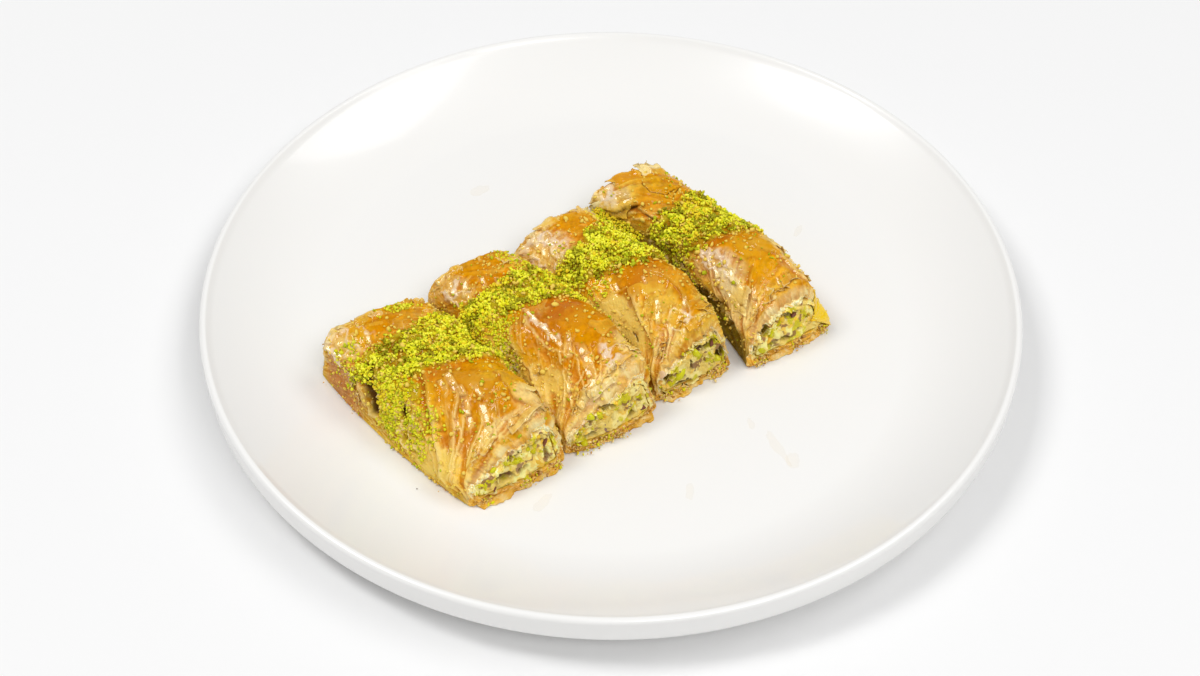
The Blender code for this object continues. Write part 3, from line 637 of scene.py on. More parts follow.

# Where a dry sheet has crinkled and gone pale, with white painted highlight on the crests of its crinkles
# and painted shade between them: share across, y, reach across and along in mm
WRINKLED = {
    1: ((0.33, 18, 6, 5), (0.24, 20, 4, 5)),
    2: ((0.30, 19, 4, 6), (0.56, -30, 4, 5), (0.40, -12, 1.6, 6)),
    3: ((0.30, 22, 7, 7), (0.46, -30, 5, 4)),
    4: ((0.33, -15, 4, 7), (0.30, 30, 5, 5), (0.72, -20, 3, 9)),
}

# The way that gleaming facets face: half way between the camera and the left softbox
GLEAM_FACING = np.array([-0.438, -0.152, 0.886])

# Where the syrup lies flat on the flank of a fold and gleams: half width in mm and a line, as for the folds
GLEAMS = {
    1: ((1.2, ((0.475, -11.0), (0.455, -14.5), (0.42, -20.0))),
        (1.2, ((0.46, -16.5), (0.44, -19.5), (0.395, -24.5))),
        (1.1, ((0.41, -22.0), (0.38, -25.5), (0.345, -29.5))),
        (1.2, ((0.465, -24.5), (0.43, -29.0), (0.38, -35.0))), (0.8, ((0.34, -24.0), (0.305, -27.5))),
        (0.8, ((0.35, -32.5), (0.315, -36.5))), (0.8, ((0.50, -19.0), (0.48, -24.0))),
        (0.8, ((0.43, -12.0), (0.405, -16.5))), (0.6, ((0.435, -32.0), (0.395, -36.5))),
        (1.8, ((0.285, 22.0), (0.30, 18.5), (0.315, 15.0))), (0.8, ((0.355, 21.0), (0.345, 17.0))),
        (1.2, ((0.245, 24.0), (0.25, 20.0), (0.26, 16.0))), (0.9, ((0.405, 18.5), (0.37, 13.0)))),
    2: ((0.9, ((0.455, 3.5), (0.44, -2.0), (0.42, -6.5), (0.40, -14.6), (0.39, -22.0))),
        (0.8, ((0.465, -16.5), (0.42, -20.5), (0.385, -24.0))),
        (1.8, ((0.46, -21.0), (0.44, -27.0), (0.41, -32.0), (0.355, -38.0))),
        (0.7, ((0.31, -27.5), (0.27, -32.0), (0.235, -36.0))),
        (0.8, ((0.365, 27.0), (0.33, 23.0), (0.29, 19.0))),
        (1.0, ((0.375, 21.0), (0.345, 17.5), (0.31, 13.5))), (0.9, ((0.445, 19.0), (0.415, 15.0))),
        (0.8, ((0.495, 16.5), (0.47, 13.0)))),
    3: ((0.9, ((0.365, -4.0), (0.335, -7.5))), (0.8, ((0.435, -18.5), (0.395, -22.5), (0.35, -26.0))),
        (0.7, ((0.475, -9.0), (0.445, -13.0))), (0.8, ((0.55, -23.5), (0.495, -28.0))),
        (0.8, ((0.40, -26.5), (0.365, -31.5))), (1.2, ((0.325, 27.5), (0.31, 23.5), (0.285, 19.0))),
        (1.0, ((0.365, 26.0), (0.35, 22.0), (0.305, 16.5)))),
    4: ((0.8, ((0.38, -30.0), (0.315, -36.0))), (0.6, ((0.51, -31.0), (0.495, -34.5))),
        (0.6, ((0.58, -32.0), (0.555, -35.5))), (0.7, ((0.35, -11.5), (0.31, -16.0), (0.26, -20.5))),
        (0.7, ((0.385, -16.5), (0.345, -21.0), (0.29, -25.5))),
        (0.8, ((0.26, -23.5), (0.25, -29.0), (0.27, -34.5)))),
}

# Edges of the ground pistachio, in mm: y of the front and back edge at four places across
BAND_PLACES = (0.12, 0.40, 0.65, 0.90)
BANDS = {
    1: ((12, -4, -8, -14), (10, 12, 15, 21)),
    2: ((6, 3, -1, -8), (14, 14, 15, 17)),
    3: ((9, 0, -4, -6), (14, 16, 20, 26)),
    4: ((-6, -7, -13, -16), (8, 12, 17, 18)),
}

# Share across where the band begins, in front of the line y = BAND_TURN and behind it
BAND_START = {1: 0.08, 2: 0.08, 3: 0.08, 4: 0.20}
BAND_START_BEHIND = 0.08
BAND_TURN = 0.011

# Hollows between the nuts in the front cuts, painted dark as painted shade, in mm: x, z and reach in x
# and z. The back cuts have the same, mirrored.
HOLLOWS = {
    1: ((-66.6, 12.6, 2.3, 1.3), (-55.8, 19.2, 2.2, 0.8), (-52.0, 13.6, 0.8, 1.8), (-60.4, 12.6, 1.4, 0.8)),
    2: ((-29.0, 18.8, 2.4, 0.8), (-35.6, 10.6, 1.8, 0.7), (-20.6, 11.4, 2.2, 0.7), (-20.2, 17.0, 0.8, 1.4)),
    3: ((9.0, 19.6, 4.2, 1.1), (15.4, 14.2, 1.5, 2.2), (-4.4, 14.0, 1.3, 1.2), (0.4, 10.4, 2.8, 0.8),
        (4.0, 15.4, 0.7, 1.2)),
    4: ((40.0, 19.8, 2.6, 1.1), (30.0, 18.0, 1.7, 1.8), (32.6, 12.0, 1.6, 0.7), (38.0, 12.0, 2.0, 0.7)),
}

# How much each cut's colours are raised as painted light, and how dark its hollows are painted as painted
# shade
CUT_PAINTED_LIGHT = {1: 1.22, 2: 1.10, 3: 1.04, 4: 1.22}
HOLLOW_SHADE = {1: 0.62, 2: 0.70, 3: 0.90, 4: 0.72}

# Nut colours that clouds lay over the paste: colour, size of the cloud, level that it has to pass, strength
NUT_CLOUDS = ((NUT_GREEN, 0.0030, 0.20, 0.9), (NUT_YELLOW, 0.0020, 0.50, 0.8), (NUT_SKIN, 0.0024, 0.45, 0.8))

PLEAT_COUNT = 5
PLEAT_DEPTH = 0.0005
PLEAT_REACH = 0.030
FOLD_BOOST = 1.7
RIDGE_BOOST = 0.95
LONG_FLANK = 1.9
SHORT_FLANK = 0.7
CREASE_DEPTH = 0.0003
GLEAM_HEIGHT = 0.00036
FACET = 0.0042
DRAPE_HEIGHT = 0.00042
BAND_BED = 0.0003
BAND_HEAP = 0.0012
MM = 0.001


def mixed(first, second, amount):
    """A blend of two colours by an amount from 0 to 1 for each point."""
    amount = np.clip(amount, 0, 1)[..., None]
    return first * (1 - amount) + second * amount


def band_mask(number, across, y, edge=BAND_EDGE):
    """One where the ground pistachio lies, falling to nothing over its slanting edges and near the walls."""
    first = np.interp(across, BAND_PLACES, BANDS[number][0]) * MM
    last = np.interp(across, BAND_PLACES, BANDS[number][1]) * MM
    mask = step_up((y - first + edge / 2) / edge) * step_up((last + edge / 2 - y) / edge)
    start = np.where(y < BAND_TURN, BAND_START[number], BAND_START_BEHIND)
    return mask * step_up((across - start) / 0.14) * step_up((0.95 - across) / 0.10)


def patch(along, y, centre, reach, turn=0.0):
    """One at a place on the unrolled skin, falling off at the edge of an oval."""
    a = along - centre[0]
    b = y - centre[1]
    c, s = math.cos(math.radians(turn)), math.sin(math.radians(turn))
    return step_up((1.25 - np.hypot((a * c + b * s) / reach[0], (b * c - a * s) / reach[1])) / 0.5)


def spots(along, y, length, listed):
    """One within any listed oval, falling to nothing at its edge: share across, y and two reaches in mm."""
    within = np.zeros(along.shape)
    for share, centre_y, reach_a, reach_y in listed:
        spot = patch(along, y, (share * length, centre_y * MM), (reach_a * MM, reach_y * MM))
        within = np.maximum(within, spot)
    return within


def crest_lines(points, size, seed):
    """Thin crests where soft random values cross nothing, with wide hollows between: 1 on a crest."""
    return 1 - np.minimum(1, 3.2 * np.abs(cloud(points, size, seed, 2))) ** 0.7


def torn_layers(places, size, seed):
    """Overlapping sheets with torn borders: the whole numbers that a cloud passes count the sheets. Gives
    how far a point is within its sheet, from 0 at the border, and a random tone for its sheet."""
    level = cloud(places, size, seed, 3) * 2.4
    sheet = np.floor(level)
    rng = np.random.default_rng(seed)
    tones = rng.uniform(-1, 1, 24)
    return level - sheet, tones[(sheet.astype(int) + 12) % 24]


def line_places(along, y, length, line):
    """Distance to a line on the unrolled skin, the same with a sign that is positive to the right of a line
    drawn from back to front, and a taper that falls to nothing at the line's ends."""
    line = np.array(line) * (1.0, MM)
    nearest = np.full(along.shape, 1.0)
    signed = np.zeros(along.shape)
    part_along = np.zeros(along.shape)
    steps = len(line) - 1
    for k in range(steps):
        start_a, start_y = line[k, 0] * length, line[k, 1]
        way_a = (line[k + 1, 0] - line[k, 0]) * length
        way_y = line[k + 1, 1] - line[k, 1]
        size = np.hypot(way_a, way_y)
        way_a, way_y = way_a / size, way_y / size
        rel_a, rel_y = along - start_a, y - start_y
        part = np.clip((rel_a * way_a + rel_y * way_y) / size, 0, 1)
        distance = np.hypot(rel_a - part * size * way_a, rel_y - part * size * way_y)
        side = np.sign(way_a * rel_y - way_y * rel_a)
        closer = distance < nearest
        nearest = np.where(closer, distance, nearest)
        signed = np.where(closer, distance * side, signed)
        part_along = np.where(closer, (k + part) / steps, part_along)
    return nearest, signed, step_up(part_along / 0.15) * step_up((1 - part_along) / 0.15)


def fold_relief(along, y, length, fold):
    """Height of one fold. A ridge rises over a long flat flank on its left and drops over a short one on its
    right, a groove is a rounded dip, and an edge a step up that sinks slowly away to the right. All taper
    towards the ends of the line."""
    kind, height, width, line = fold
    width = width * MM
    nearest, signed, taper = line_places(along, y, length, line)
    if kind == "edge":
        rise = step_up(signed / width * 0.5 + 0.5) * np.exp(-np.maximum(signed, 0) / 0.006)
        return FOLD_BOOST * height * MM * rise * taper, np.exp(-(signed / width) ** 2) * taper
    if kind == "groove":
        dip = 1 / (1 + (nearest / (0.55 * width)) ** 2) ** 1.5
        return -height * MM * dip * taper, dip * taper
    flank = np.where(signed < 0, 1 + signed / (LONG_FLANK * width), 1 - signed / (SHORT_FLANK * width))
    flank = np.clip(flank, 0, 1) * np.clip((LONG_FLANK * width - nearest) / (0.3 * width), 0, 1)
    crest = np.exp(-(nearest / (0.45 * width)) ** 2)
    return RIDGE_BOOST * height * MM * flank * taper, crest * taper


def blurred(values, reach):
    """A grid's values averaged over a square of cells by running sums."""
    for axis in (0, 1):
        padded = np.moveaxis(values, axis, 0)
        padded = np.concatenate([padded[:1]] * (reach + 1) + [padded] + [padded[-1:]] * reach)
        total = np.cumsum(padded, axis=0)
        values = np.moveaxis((total[2 * reach + 1:] - total[:-2 * reach - 1]) / (2 * reach + 1), 0, axis)
    return values


def gleam_relief(points, relief, along, y, length, gleams):
    """Narrow strips of skin broken into facets that face GLEAM_FACING: the height is the way from a facet's
    centre, across and along, times the slopes that turn the normal there. Gives the height and how far a
    point is within a strip."""
    normal = outward(points + outward(points) * relief[..., None])
    normal = np.stack([blurred(normal[..., k], 4) for k in range(3)], axis=-1)
    normal /= np.linalg.norm(normal, axis=-1, keepdims=True)
    slopes = []
    for axis, limit in ((1, 0.85), (0, 0.5)):
        way = np.gradient(points, axis=axis)
        way = way - (way * normal).sum(axis=-1, keepdims=True) * normal
        way /= np.maximum(np.linalg.norm(way, axis=-1, keepdims=True), 1e-12)
        slopes.append(np.clip(-(way @ GLEAM_FACING) / np.maximum(normal @ GLEAM_FACING, 0.3), -limit, limit))
    height = np.zeros(along.shape)
    within = np.zeros(along.shape)
    for width, line in gleams:
        nearest, _, taper = line_places(along, y, length, line)
        strip = step_up((width * MM - nearest) / (0.35 * width * MM)) * taper
        shares, ends = np.array(line).T
        steps = np.hypot(np.diff(shares) * length.mean(), np.diff(ends) * MM)
        reached = np.concatenate([[0], np.cumsum(steps)])
        centres = (np.arange(max(1, round(reached[-1] / FACET))) + 0.5) * FACET
        closest = np.full(along.shape, 1.0)
        facet = np.zeros(along.shape)
        for centre in centres:
            across_by = along - np.interp(centre, reached, shares) * length
            along_by = y - np.interp(centre, reached, ends) * MM
            away = np.hypot(across_by, along_by)
            facet = np.where(away < closest, slopes[0] * across_by + slopes[1] * along_by, facet)
            closest = np.minimum(away, closest)
        height = height + facet * strip
        within = np.maximum(within, strip)
    return height, within


def draped(along, down, seed):
    """Crinkles that run over the edge of a cut and down its face: clouds drawn out in that direction."""
    places = np.stack([along, down, 0 * along + seed], axis=-1)
    bent = along + 0.0014 * cloud(places, 0.0040, seed + 3, 3)
    return cloud(np.stack([bent, 0.5 * down, 0 * along + seed], axis=-1), 0.0034, seed, 4)


def rounded_edge(y, z):
    """How far the skin sinks towards the front cut: an ellipse's quarter, fading out low on the walls."""
    near = 1 - np.clip((y - y[:1]) / EDGE_LENGTH, 0, 1)
    high = step_up((z - ROLL_BASE - EDGE_LOW) / (EDGE_HIGH - EDGE_LOW))
    return EDGE_ROUND * (1 - np.sqrt(1 - near ** 2)) * high


def drawn_out(fans, z, behind, reach, swings, rise):
    """Places for clouds that run along the pleats: the distance from a fan's corner and the turn about it,
    each to its own scale, from the front fan before the saddle and from the back fan behind it."""
    front, back = [np.stack([distance * reach, turn * swing, rise * z], axis=-1)
                   for (distance, turn), swing in zip(fans, swings)]
    return front * (1 - behind[..., None]) + back * behind[..., None]


def skin_fields(number, roll, points):
    """Relief and colour of the skin. The relief is a soft fan of pleats from the front left corner, the
    folds, crumpling clouds, rough ground where the sheets have crumbled and the bed under the nuts. The
    colour goes from amber on the crests over honey to straw at the cuts and khaki low down, then single
    places are laid over it. The relief is painted in as well: painted shade in its hollows and grooves,
    between the grains and on the wall in the narrow gap, and painted highlight on its crests and gleams."""
    y, z = points[..., 1], points[..., 2]
    step = np.linalg.norm(np.diff(points[..., [0, 2]], axis=1, prepend=points[:, :1, [0, 2]]), axis=-1)
    along = np.cumsum(step, axis=1)
    length = along[:, SKIN_COLUMNS - 1:SKIN_COLUMNS]
    across = np.clip(along / length, 0, 1)
    seed = roll["seed"]
    warp = cloud(points, 0.014, seed, 2)
    ragged = cloud(points, 0.0035, seed + 3, 3)
    from_front = y - roll["front"] + 0.002
    turn = np.arctan2(from_front, along)
    distance = np.hypot(from_front, along)
    fade = (distance / PLEAT_REACH) * np.exp(1 - distance / PLEAT_REACH)
    fan = 4 * PLEAT_COUNT * turn + seed
    pleats = PLEAT_DEPTH * np.cos(fan + 0.9 * warp) * fade * step_up((0.62 - across) / 0.25)
    patchy = step_up(cloud(points, 0.008, seed + 1, 2) * 1.2 + 0.45)
    from_back = roll["back"] - y + 0.006
    fans = ((distance, turn), (np.hypot(from_back, along), np.arctan2(from_back, along)))
    behind = step_up((y - roll["saddle_line"]) / 0.004)
    creased = drawn_out(fans, z, behind, 0.16, (0.022, 0.020), 0.3)
    height = (z - ROLL_BASE) / (roll["front_top"] - ROLL_BASE)
    domed = step_up((height + 0.10 * warp - 0.78) / 0.16) * step_up((distance - 0.020) / 0.008)
    fine = crest_lines(creased, 0.0024, seed + 21) * 0.00020
    fine = fine + crest_lines(creased, 0.0010, seed + 22) * 0.00006
    fine = fine * (0.15 + 0.85 * patchy * step_up((0.80 - across) / 0.3))
    streaked = drawn_out(fans, z, behind, 0.09, (0.036, 0.036), 0.2)
    thin = crest_lines(streaked, 0.0015, seed + 25)
    fine = fine + 0.00018 * thin ** 2 * step_up((0.86 - across) / 0.2)
    streak = cloud(streaked, 0.0009, seed + 26, 3)
    within, sheet_tone = torn_layers(creased, 0.0042, seed + 23)
    fine = (fine + 0.00022 * (1 - within) ** 3 * patchy) * (1 - 0.8 * domed)
    gleam = cloud(streaked, 0.0019, seed + 27, 1)
    fine = fine + GLEAM_HEIGHT * gleam * (0.4 + 0.6 * domed)
    thin = thin * (1 - 0.8 * domed)
    streak = streak * (1 - 0.6 * domed)
    uneven_a, uneven_y = along + 0.002 * ragged, y + 0.002 * ragged
    wrinkled = spots(uneven_a, uneven_y, length, WRINKLED[number])
    smooth = spots(uneven_a, uneven_y, length, SMOOTH[number])
    fine = fine * (1 - 0.8 * smooth)
    bent = points + 0.0016 * ragged[..., None]
    crinkle = 1 - np.minimum(1, 1.7 * np.abs(cloud(bent, 0.0042, seed + 24, 3)))
    fine = fine + 0.0006 * crinkle * wrinkled
    fine = fine * (0.25 + 0.75 * step_up((from_front - 0.003) / 0.006))
    near_front = step_up((0.0095 - from_front) / 0.007) * step_up((across - 0.26) / 0.12)
    near_back = step_up((0.0080 - (roll["back"] - y)) / 0.006) * step_up((across - 0.10) / 0.10)
    drape = draped(along, from_front, seed * 100 + 2) * near_front
    drape = drape + draped(along, roll["back"] - y, seed * 100 + 1) * near_back
    fine = fine + DRAPE_HEIGHT * drape * step_up((0.97 - across) / 0.08)
    creases = CREASE_DEPTH * np.sin(along / 0.0047 + y / 0.0062 + seed + 2.5 * warp)
    crumple = 0.00045 * cloud(points, 0.0060, seed + 2, 3) + 0.00009 * crest_lines(points, 0.0022, seed + 4)
    band = band_mask(number, across, y + 0.0012 * ragged)
    pile = step_up(0.5 + 0.8 * cloud(points, 0.0026, seed + 92, 2))
    relief = (pleats * (1 - 0.8 * smooth) + fine) * (1 - band) + creases + crumple
    relief = relief + (BAND_BED + BAND_HEAP * pile) * band
    lines = np.zeros(along.shape)
    wavy_a = along + 0.0005 * ragged
    wavy_y = y + 0.0005 * warp
    dark = np.zeros(along.shape)
    for fold in FOLDS[number]:
        rise, line = fold_relief(wavy_a, wavy_y, length, fold)
        relief = relief + rise * (1 - 0.7 * band)
        if fold[0] == "groove":
            dark = np.maximum(dark, line * min(1, 0.35 + fold[1] / 1.5))
        else:
            lines = np.maximum(lines, line * min(1, fold[1] / 0.5))
    crumbly = spots(wavy_a, wavy_y + 0.0015 * ragged, length, CRUMBLY[number])
    lumps = 0.0011 * cloud(points, 0.0030, seed + 5, 3) + 0.00040 * np.abs(cloud(points, 0.0012, seed + 6, 2))
    relief = relief + crumbly * (lumps - 0.0006)
    edge = np.minimum(across, 1 - across)
    relief = relief * np.where(relief > 0, step_up((edge - 0.01) / 0.10), step_up(edge / 0.05))
    tilt, shining = gleam_relief(points, relief, along, y, length, GLEAMS[number])
    relief = relief + (blurred(relief, 3) - relief) * shining + tilt

    tone = height + 0.10 * warp + 0.06 * ragged + 0.2 * pleats / PLEAT_DEPTH
    tint = mixed(KHAKI + 0 * points, STRAW, step_up((tone - 0.10) / 0.25))
    tint = mixed(tint, HONEY, step_up((tone - 0.45) / 0.22))
    tint = mixed(tint, AMBER, step_up((tone - 0.74) / 0.20))
    torn = cloud(points, 0.0018, seed + 31, 3)
    stained_a = along + 0.0016 * ragged + 0.0006 * torn
    stained_y = y + 0.0020 * warp + 0.0012 * ragged + 0.0006 * torn
    for share, centre_y, reach_a, reach_y, degrees, colour, strength in STAINS[number]:
        reach = (reach_a * MM, reach_y * MM)
        spot = patch(stained_a, stained_y, (share * length, centre_y * MM), reach, degrees)
        tint = mixed(tint, colour, spot * strength)
    mottle = cloud(points, 0.0022, seed + 7, 3)
    tint = mixed(tint, STRAW, step_up(sheet_tone) * 0.35 * patchy)
    calm = 1 - 0.8 * np.maximum(wrinkled, smooth)
    tint = mixed(tint, DEEP_AMBER, step_up(-sheet_tone) * 0.35 * patchy * calm)
    tint = mixed(tint, CREAM, step_up(1 - within / 0.16) * 0.40 * patchy * (1 - 0.8 * domed))
    # Painted highlight: crests of the fine relief, thin crest lines and folds are painted paler, partly the
    # pale edges of dry sheets
    pale = mixed(GLASS_CREAM + 0 * points, HONEY, 0.85 * domed)
    tint = mixed(tint, pale, step_up(fine / 0.0003 - 0.5) * 0.10)
    grain = cloud(points, 0.0009, seed + 9, 2)
    tint = tint * (1 + 0.14 * mottle * calm + 0.06 * warp + 0.15 * grain * calm)[..., None]
    streaky = 0.25 + 0.75 * step_up((0.030 - distance) / 0.018)
    tint = mixed(tint, GLASS_CREAM, step_up((streak - 0.15) / 0.35) * 0.42 * streaky * (1 - 0.7 * smooth))
    tint = mixed(tint, DEEP_AMBER, step_up((-streak - 0.2) / 0.35) * 0.55 * (0.3 + 0.7 * streaky) * calm)
    tint = mixed(tint, CREAM, thin ** 3 * 0.15 * streaky)
    tint = mixed(tint, pale, lines ** 2 * 0.4)
    # White painted highlight on the crinkles' crests and painted shade between them, on a sheet gone pale
    # where dry
    tint = mixed(tint, HONEY, wrinkled * step_up((0.35 - crinkle) / 0.3) * 0.5)
    tint = mixed(tint, WHITE_ROSE, wrinkled * step_up((crinkle - 0.50) / 0.2) * 0.7)
    # Crinkles over the cut's edge: painted shade in their hollows and painted highlight on their crests
    tint = mixed(tint, HONEY, step_up((-drape - 0.05) / 0.4) * 0.6)
    tint = mixed(tint, SINGED, step_up((-drape - 0.55) / 0.4) * 0.5)
    tint = mixed(tint, GLASS_CREAM, step_up((drape - 0.10) / 0.4) * 0.6)
    # Painted shade and highlight: hollows of the relief are painted darker and its crests paler, with syrup
    # pooled in the hollows as well
    fine_relief_shading = np.clip((relief - blurred(relief, 2)) / 0.00009, -1, 1)
    tint = mixed(tint, SINGED, step_up(-fine_relief_shading) * 0.42 * (1 - crumbly) * calm)
    tint = mixed(tint, pale, step_up(fine_relief_shading) * 0.24)
    relief_shading = relief - blurred(relief, 7)
    tint = mixed(tint, DEEP_AMBER, step_up(-relief_shading / 0.00035) * 0.55 * calm)
    tint = mixed(tint, SINGED, step_up(-relief_shading / 0.0006 - 0.4) * 0.5 * calm)
    tint = mixed(tint, pale, step_up(relief_shading / 0.0004 - 0.2) * 0.22)
    speckle = cloud(points, 0.0011, seed + 8, 2)
    tint = mixed(tint, OLIVE, crumbly * step_up((speckle - 0.1) / 0.3) * 0.6)
    tint = mixed(tint, CREAM, crumbly * step_up((-speckle - 0.25) / 0.2) * 0.7)
    # Painted shade in the low places between the crumbled lumps
    tint = mixed(tint, SINGED, crumbly * step_up((-lumps - 0.0003) / 0.0004) * 0.7)
    cut = np.minimum(y - roll["front"] - FACE_LEAN * height, roll["back"] - y)
    near_cut = step_up((0.0016 + 0.0016 * warp - cut) / 0.0016)
    tint = mixed(tint, GLASS_PALE, near_cut * np.clip(0.30 + 0.5 * drape, 0, 0.8))
    # Painted shade between the grains: the bed under the ground pistachio is dark, darkest where the heap is
    # low
    tint = mixed(tint, mixed(SINGED + 0 * points, OLIVE, 0.3 + 0.7 * pile), band * 0.9)
    # Painted shade on the wall that stands in the narrow gap
    if number in GAP_WALL_SHADE:
        *place, colour, strength = GAP_WALL_SHADE[number]
        spot = spots(stained_a, stained_y, length, [place])
        tint = mixed(tint, colour * (1 + 0.4 * mottle[..., None]), spot * strength)
    # Painted shade: the grooves are painted dark brown, darker the deeper they are
    tint = mixed(tint, CRUMB_AND_SHADE_BROWN, step_up(1.6 * dark) * 0.95)
    # Painted highlight: the gleaming strips are painted paler as well
    tint = mixed(tint, GLASS_CREAM, shining * 0.25)
    frayed = step_up((0.0012 + 0.0010 * warp + 0.0006 * ragged - cut) / 0.0006) * step_up((edge - 0.12) / 0.1)
    relief = relief - 0.00045 * frayed - rounded_edge(y, z)
    relief[:, SKIN_COLUMNS:] = 0.0
    wet = step_up(cloud(points, 0.0040, seed + 41, 3) * 1.1 + 0.35)
    wet = np.maximum(0.68 * np.maximum(wet, lines), 0.85 * wrinkled)
    wet = np.maximum(wet * (1 - 0.22 * domed), np.maximum(shining, 0.6 * smooth))
    tint = tint * (1 - 0.07 * domed)[..., None]
    wet = np.maximum(wet * (1 - crumbly) * step_up(height * 1.6 - 0.3), shining) * (1 - band)
    return across, relief, np.clip(tint, 0, 1), 0.12 + 0.88 * wet, pile


def ring_random(count, seed):
    """Random numbers from -1 to 1 at the places of a ring, smooth from one to the next."""
    rng = np.random.default_rng(seed)
    knots = rng.uniform(-1, 1, count)
    part = np.arange(AROUND) / AROUND * count
    low = part.astype(int)
    mix = step_up(part - low)
    return knots[low % count] * (1 - mix) + knots[(low + 1) % count] * mix


def filling_lumps(points, seed):
    """How far the chopped filling stands out of a cut: clouds of three sizes."""
    coarse = 0.0009 * cloud(points, 0.0034, seed, 3) + 0.0005 * cloud(points, 0.0014, seed + 1, 3)
    return coarse + 0.00028 * cloud(points, 0.0007, seed + 8, 2)


def filling_tint(points, lumps, hollows, seed):
    """Colours of the filling at a cut: cream paste, green and brown-skinned nut by clouds, and painted
    shade of a given strength in the low places between the lumps."""
    colours = mixed(PASTE + 0 * points, PASTE_PALE, step_up(2 * cloud(points, 0.0020, seed + 2, 3) + 0.6))
    for k, (colour, size, level, strength) in enumerate(NUT_CLOUDS):
        over = step_up((cloud(points, size, seed + 3 + k, 3) - level) / 0.15)
        colours = mixed(colours, colour, over * strength)
    # Painted shade in the low places between the lumps
    return mixed(colours, NUT_GAP_SHADE, step_up(-lumps / 0.0007 - 0.55) * hollows)


def on_cut(roll, x, z, towards):
    """Places seen on the front cut, in mm, as points on it, or mirrored on the back cut."""
    ends = np.array([roll["front"], roll["back"]])
    left, right = through(roll["left"], ends), through(roll["right"], ends)
    share = (np.array(x) * MM - left[0]) / (right[0] - left[0])
    if towards > 0:
        share = 1 - share
    end = (towards + 1) // 2
    x = left[end] + share * (right[end] - left[end])
    z = np.array(z) * MM
    y = lean_cuts(roll, ends[end:end + 1], x[None], z[None])[0]
    return np.stack([x, y, z], axis=-1)


def hollow_depth(points, number, roll, towards):
    """One in the hollows of a cut and nothing outside: by the distance to each, ragged by clouds."""
    spots = HOLLOWS[number]
    places = on_cut(roll, [spot[0] for spot in spots], [spot[1] for spot in spots], towards)
    ragged = 0.30 * cloud(points, 0.0016, roll["seed"] + 70, 3)
    deep = np.zeros(points.shape[:-1])
    for place, (_, _, reach_x, reach_z) in zip(places, spots):
        away_x = (points[..., 0] - place[0]) / (reach_x * MM)
        away_z = (points[..., 2] - place[2]) / (reach_z * MM)
        deep = np.maximum(deep, step_up((1.35 - np.hypot(away_x, away_z) + ragged) / 0.5))
    return deep


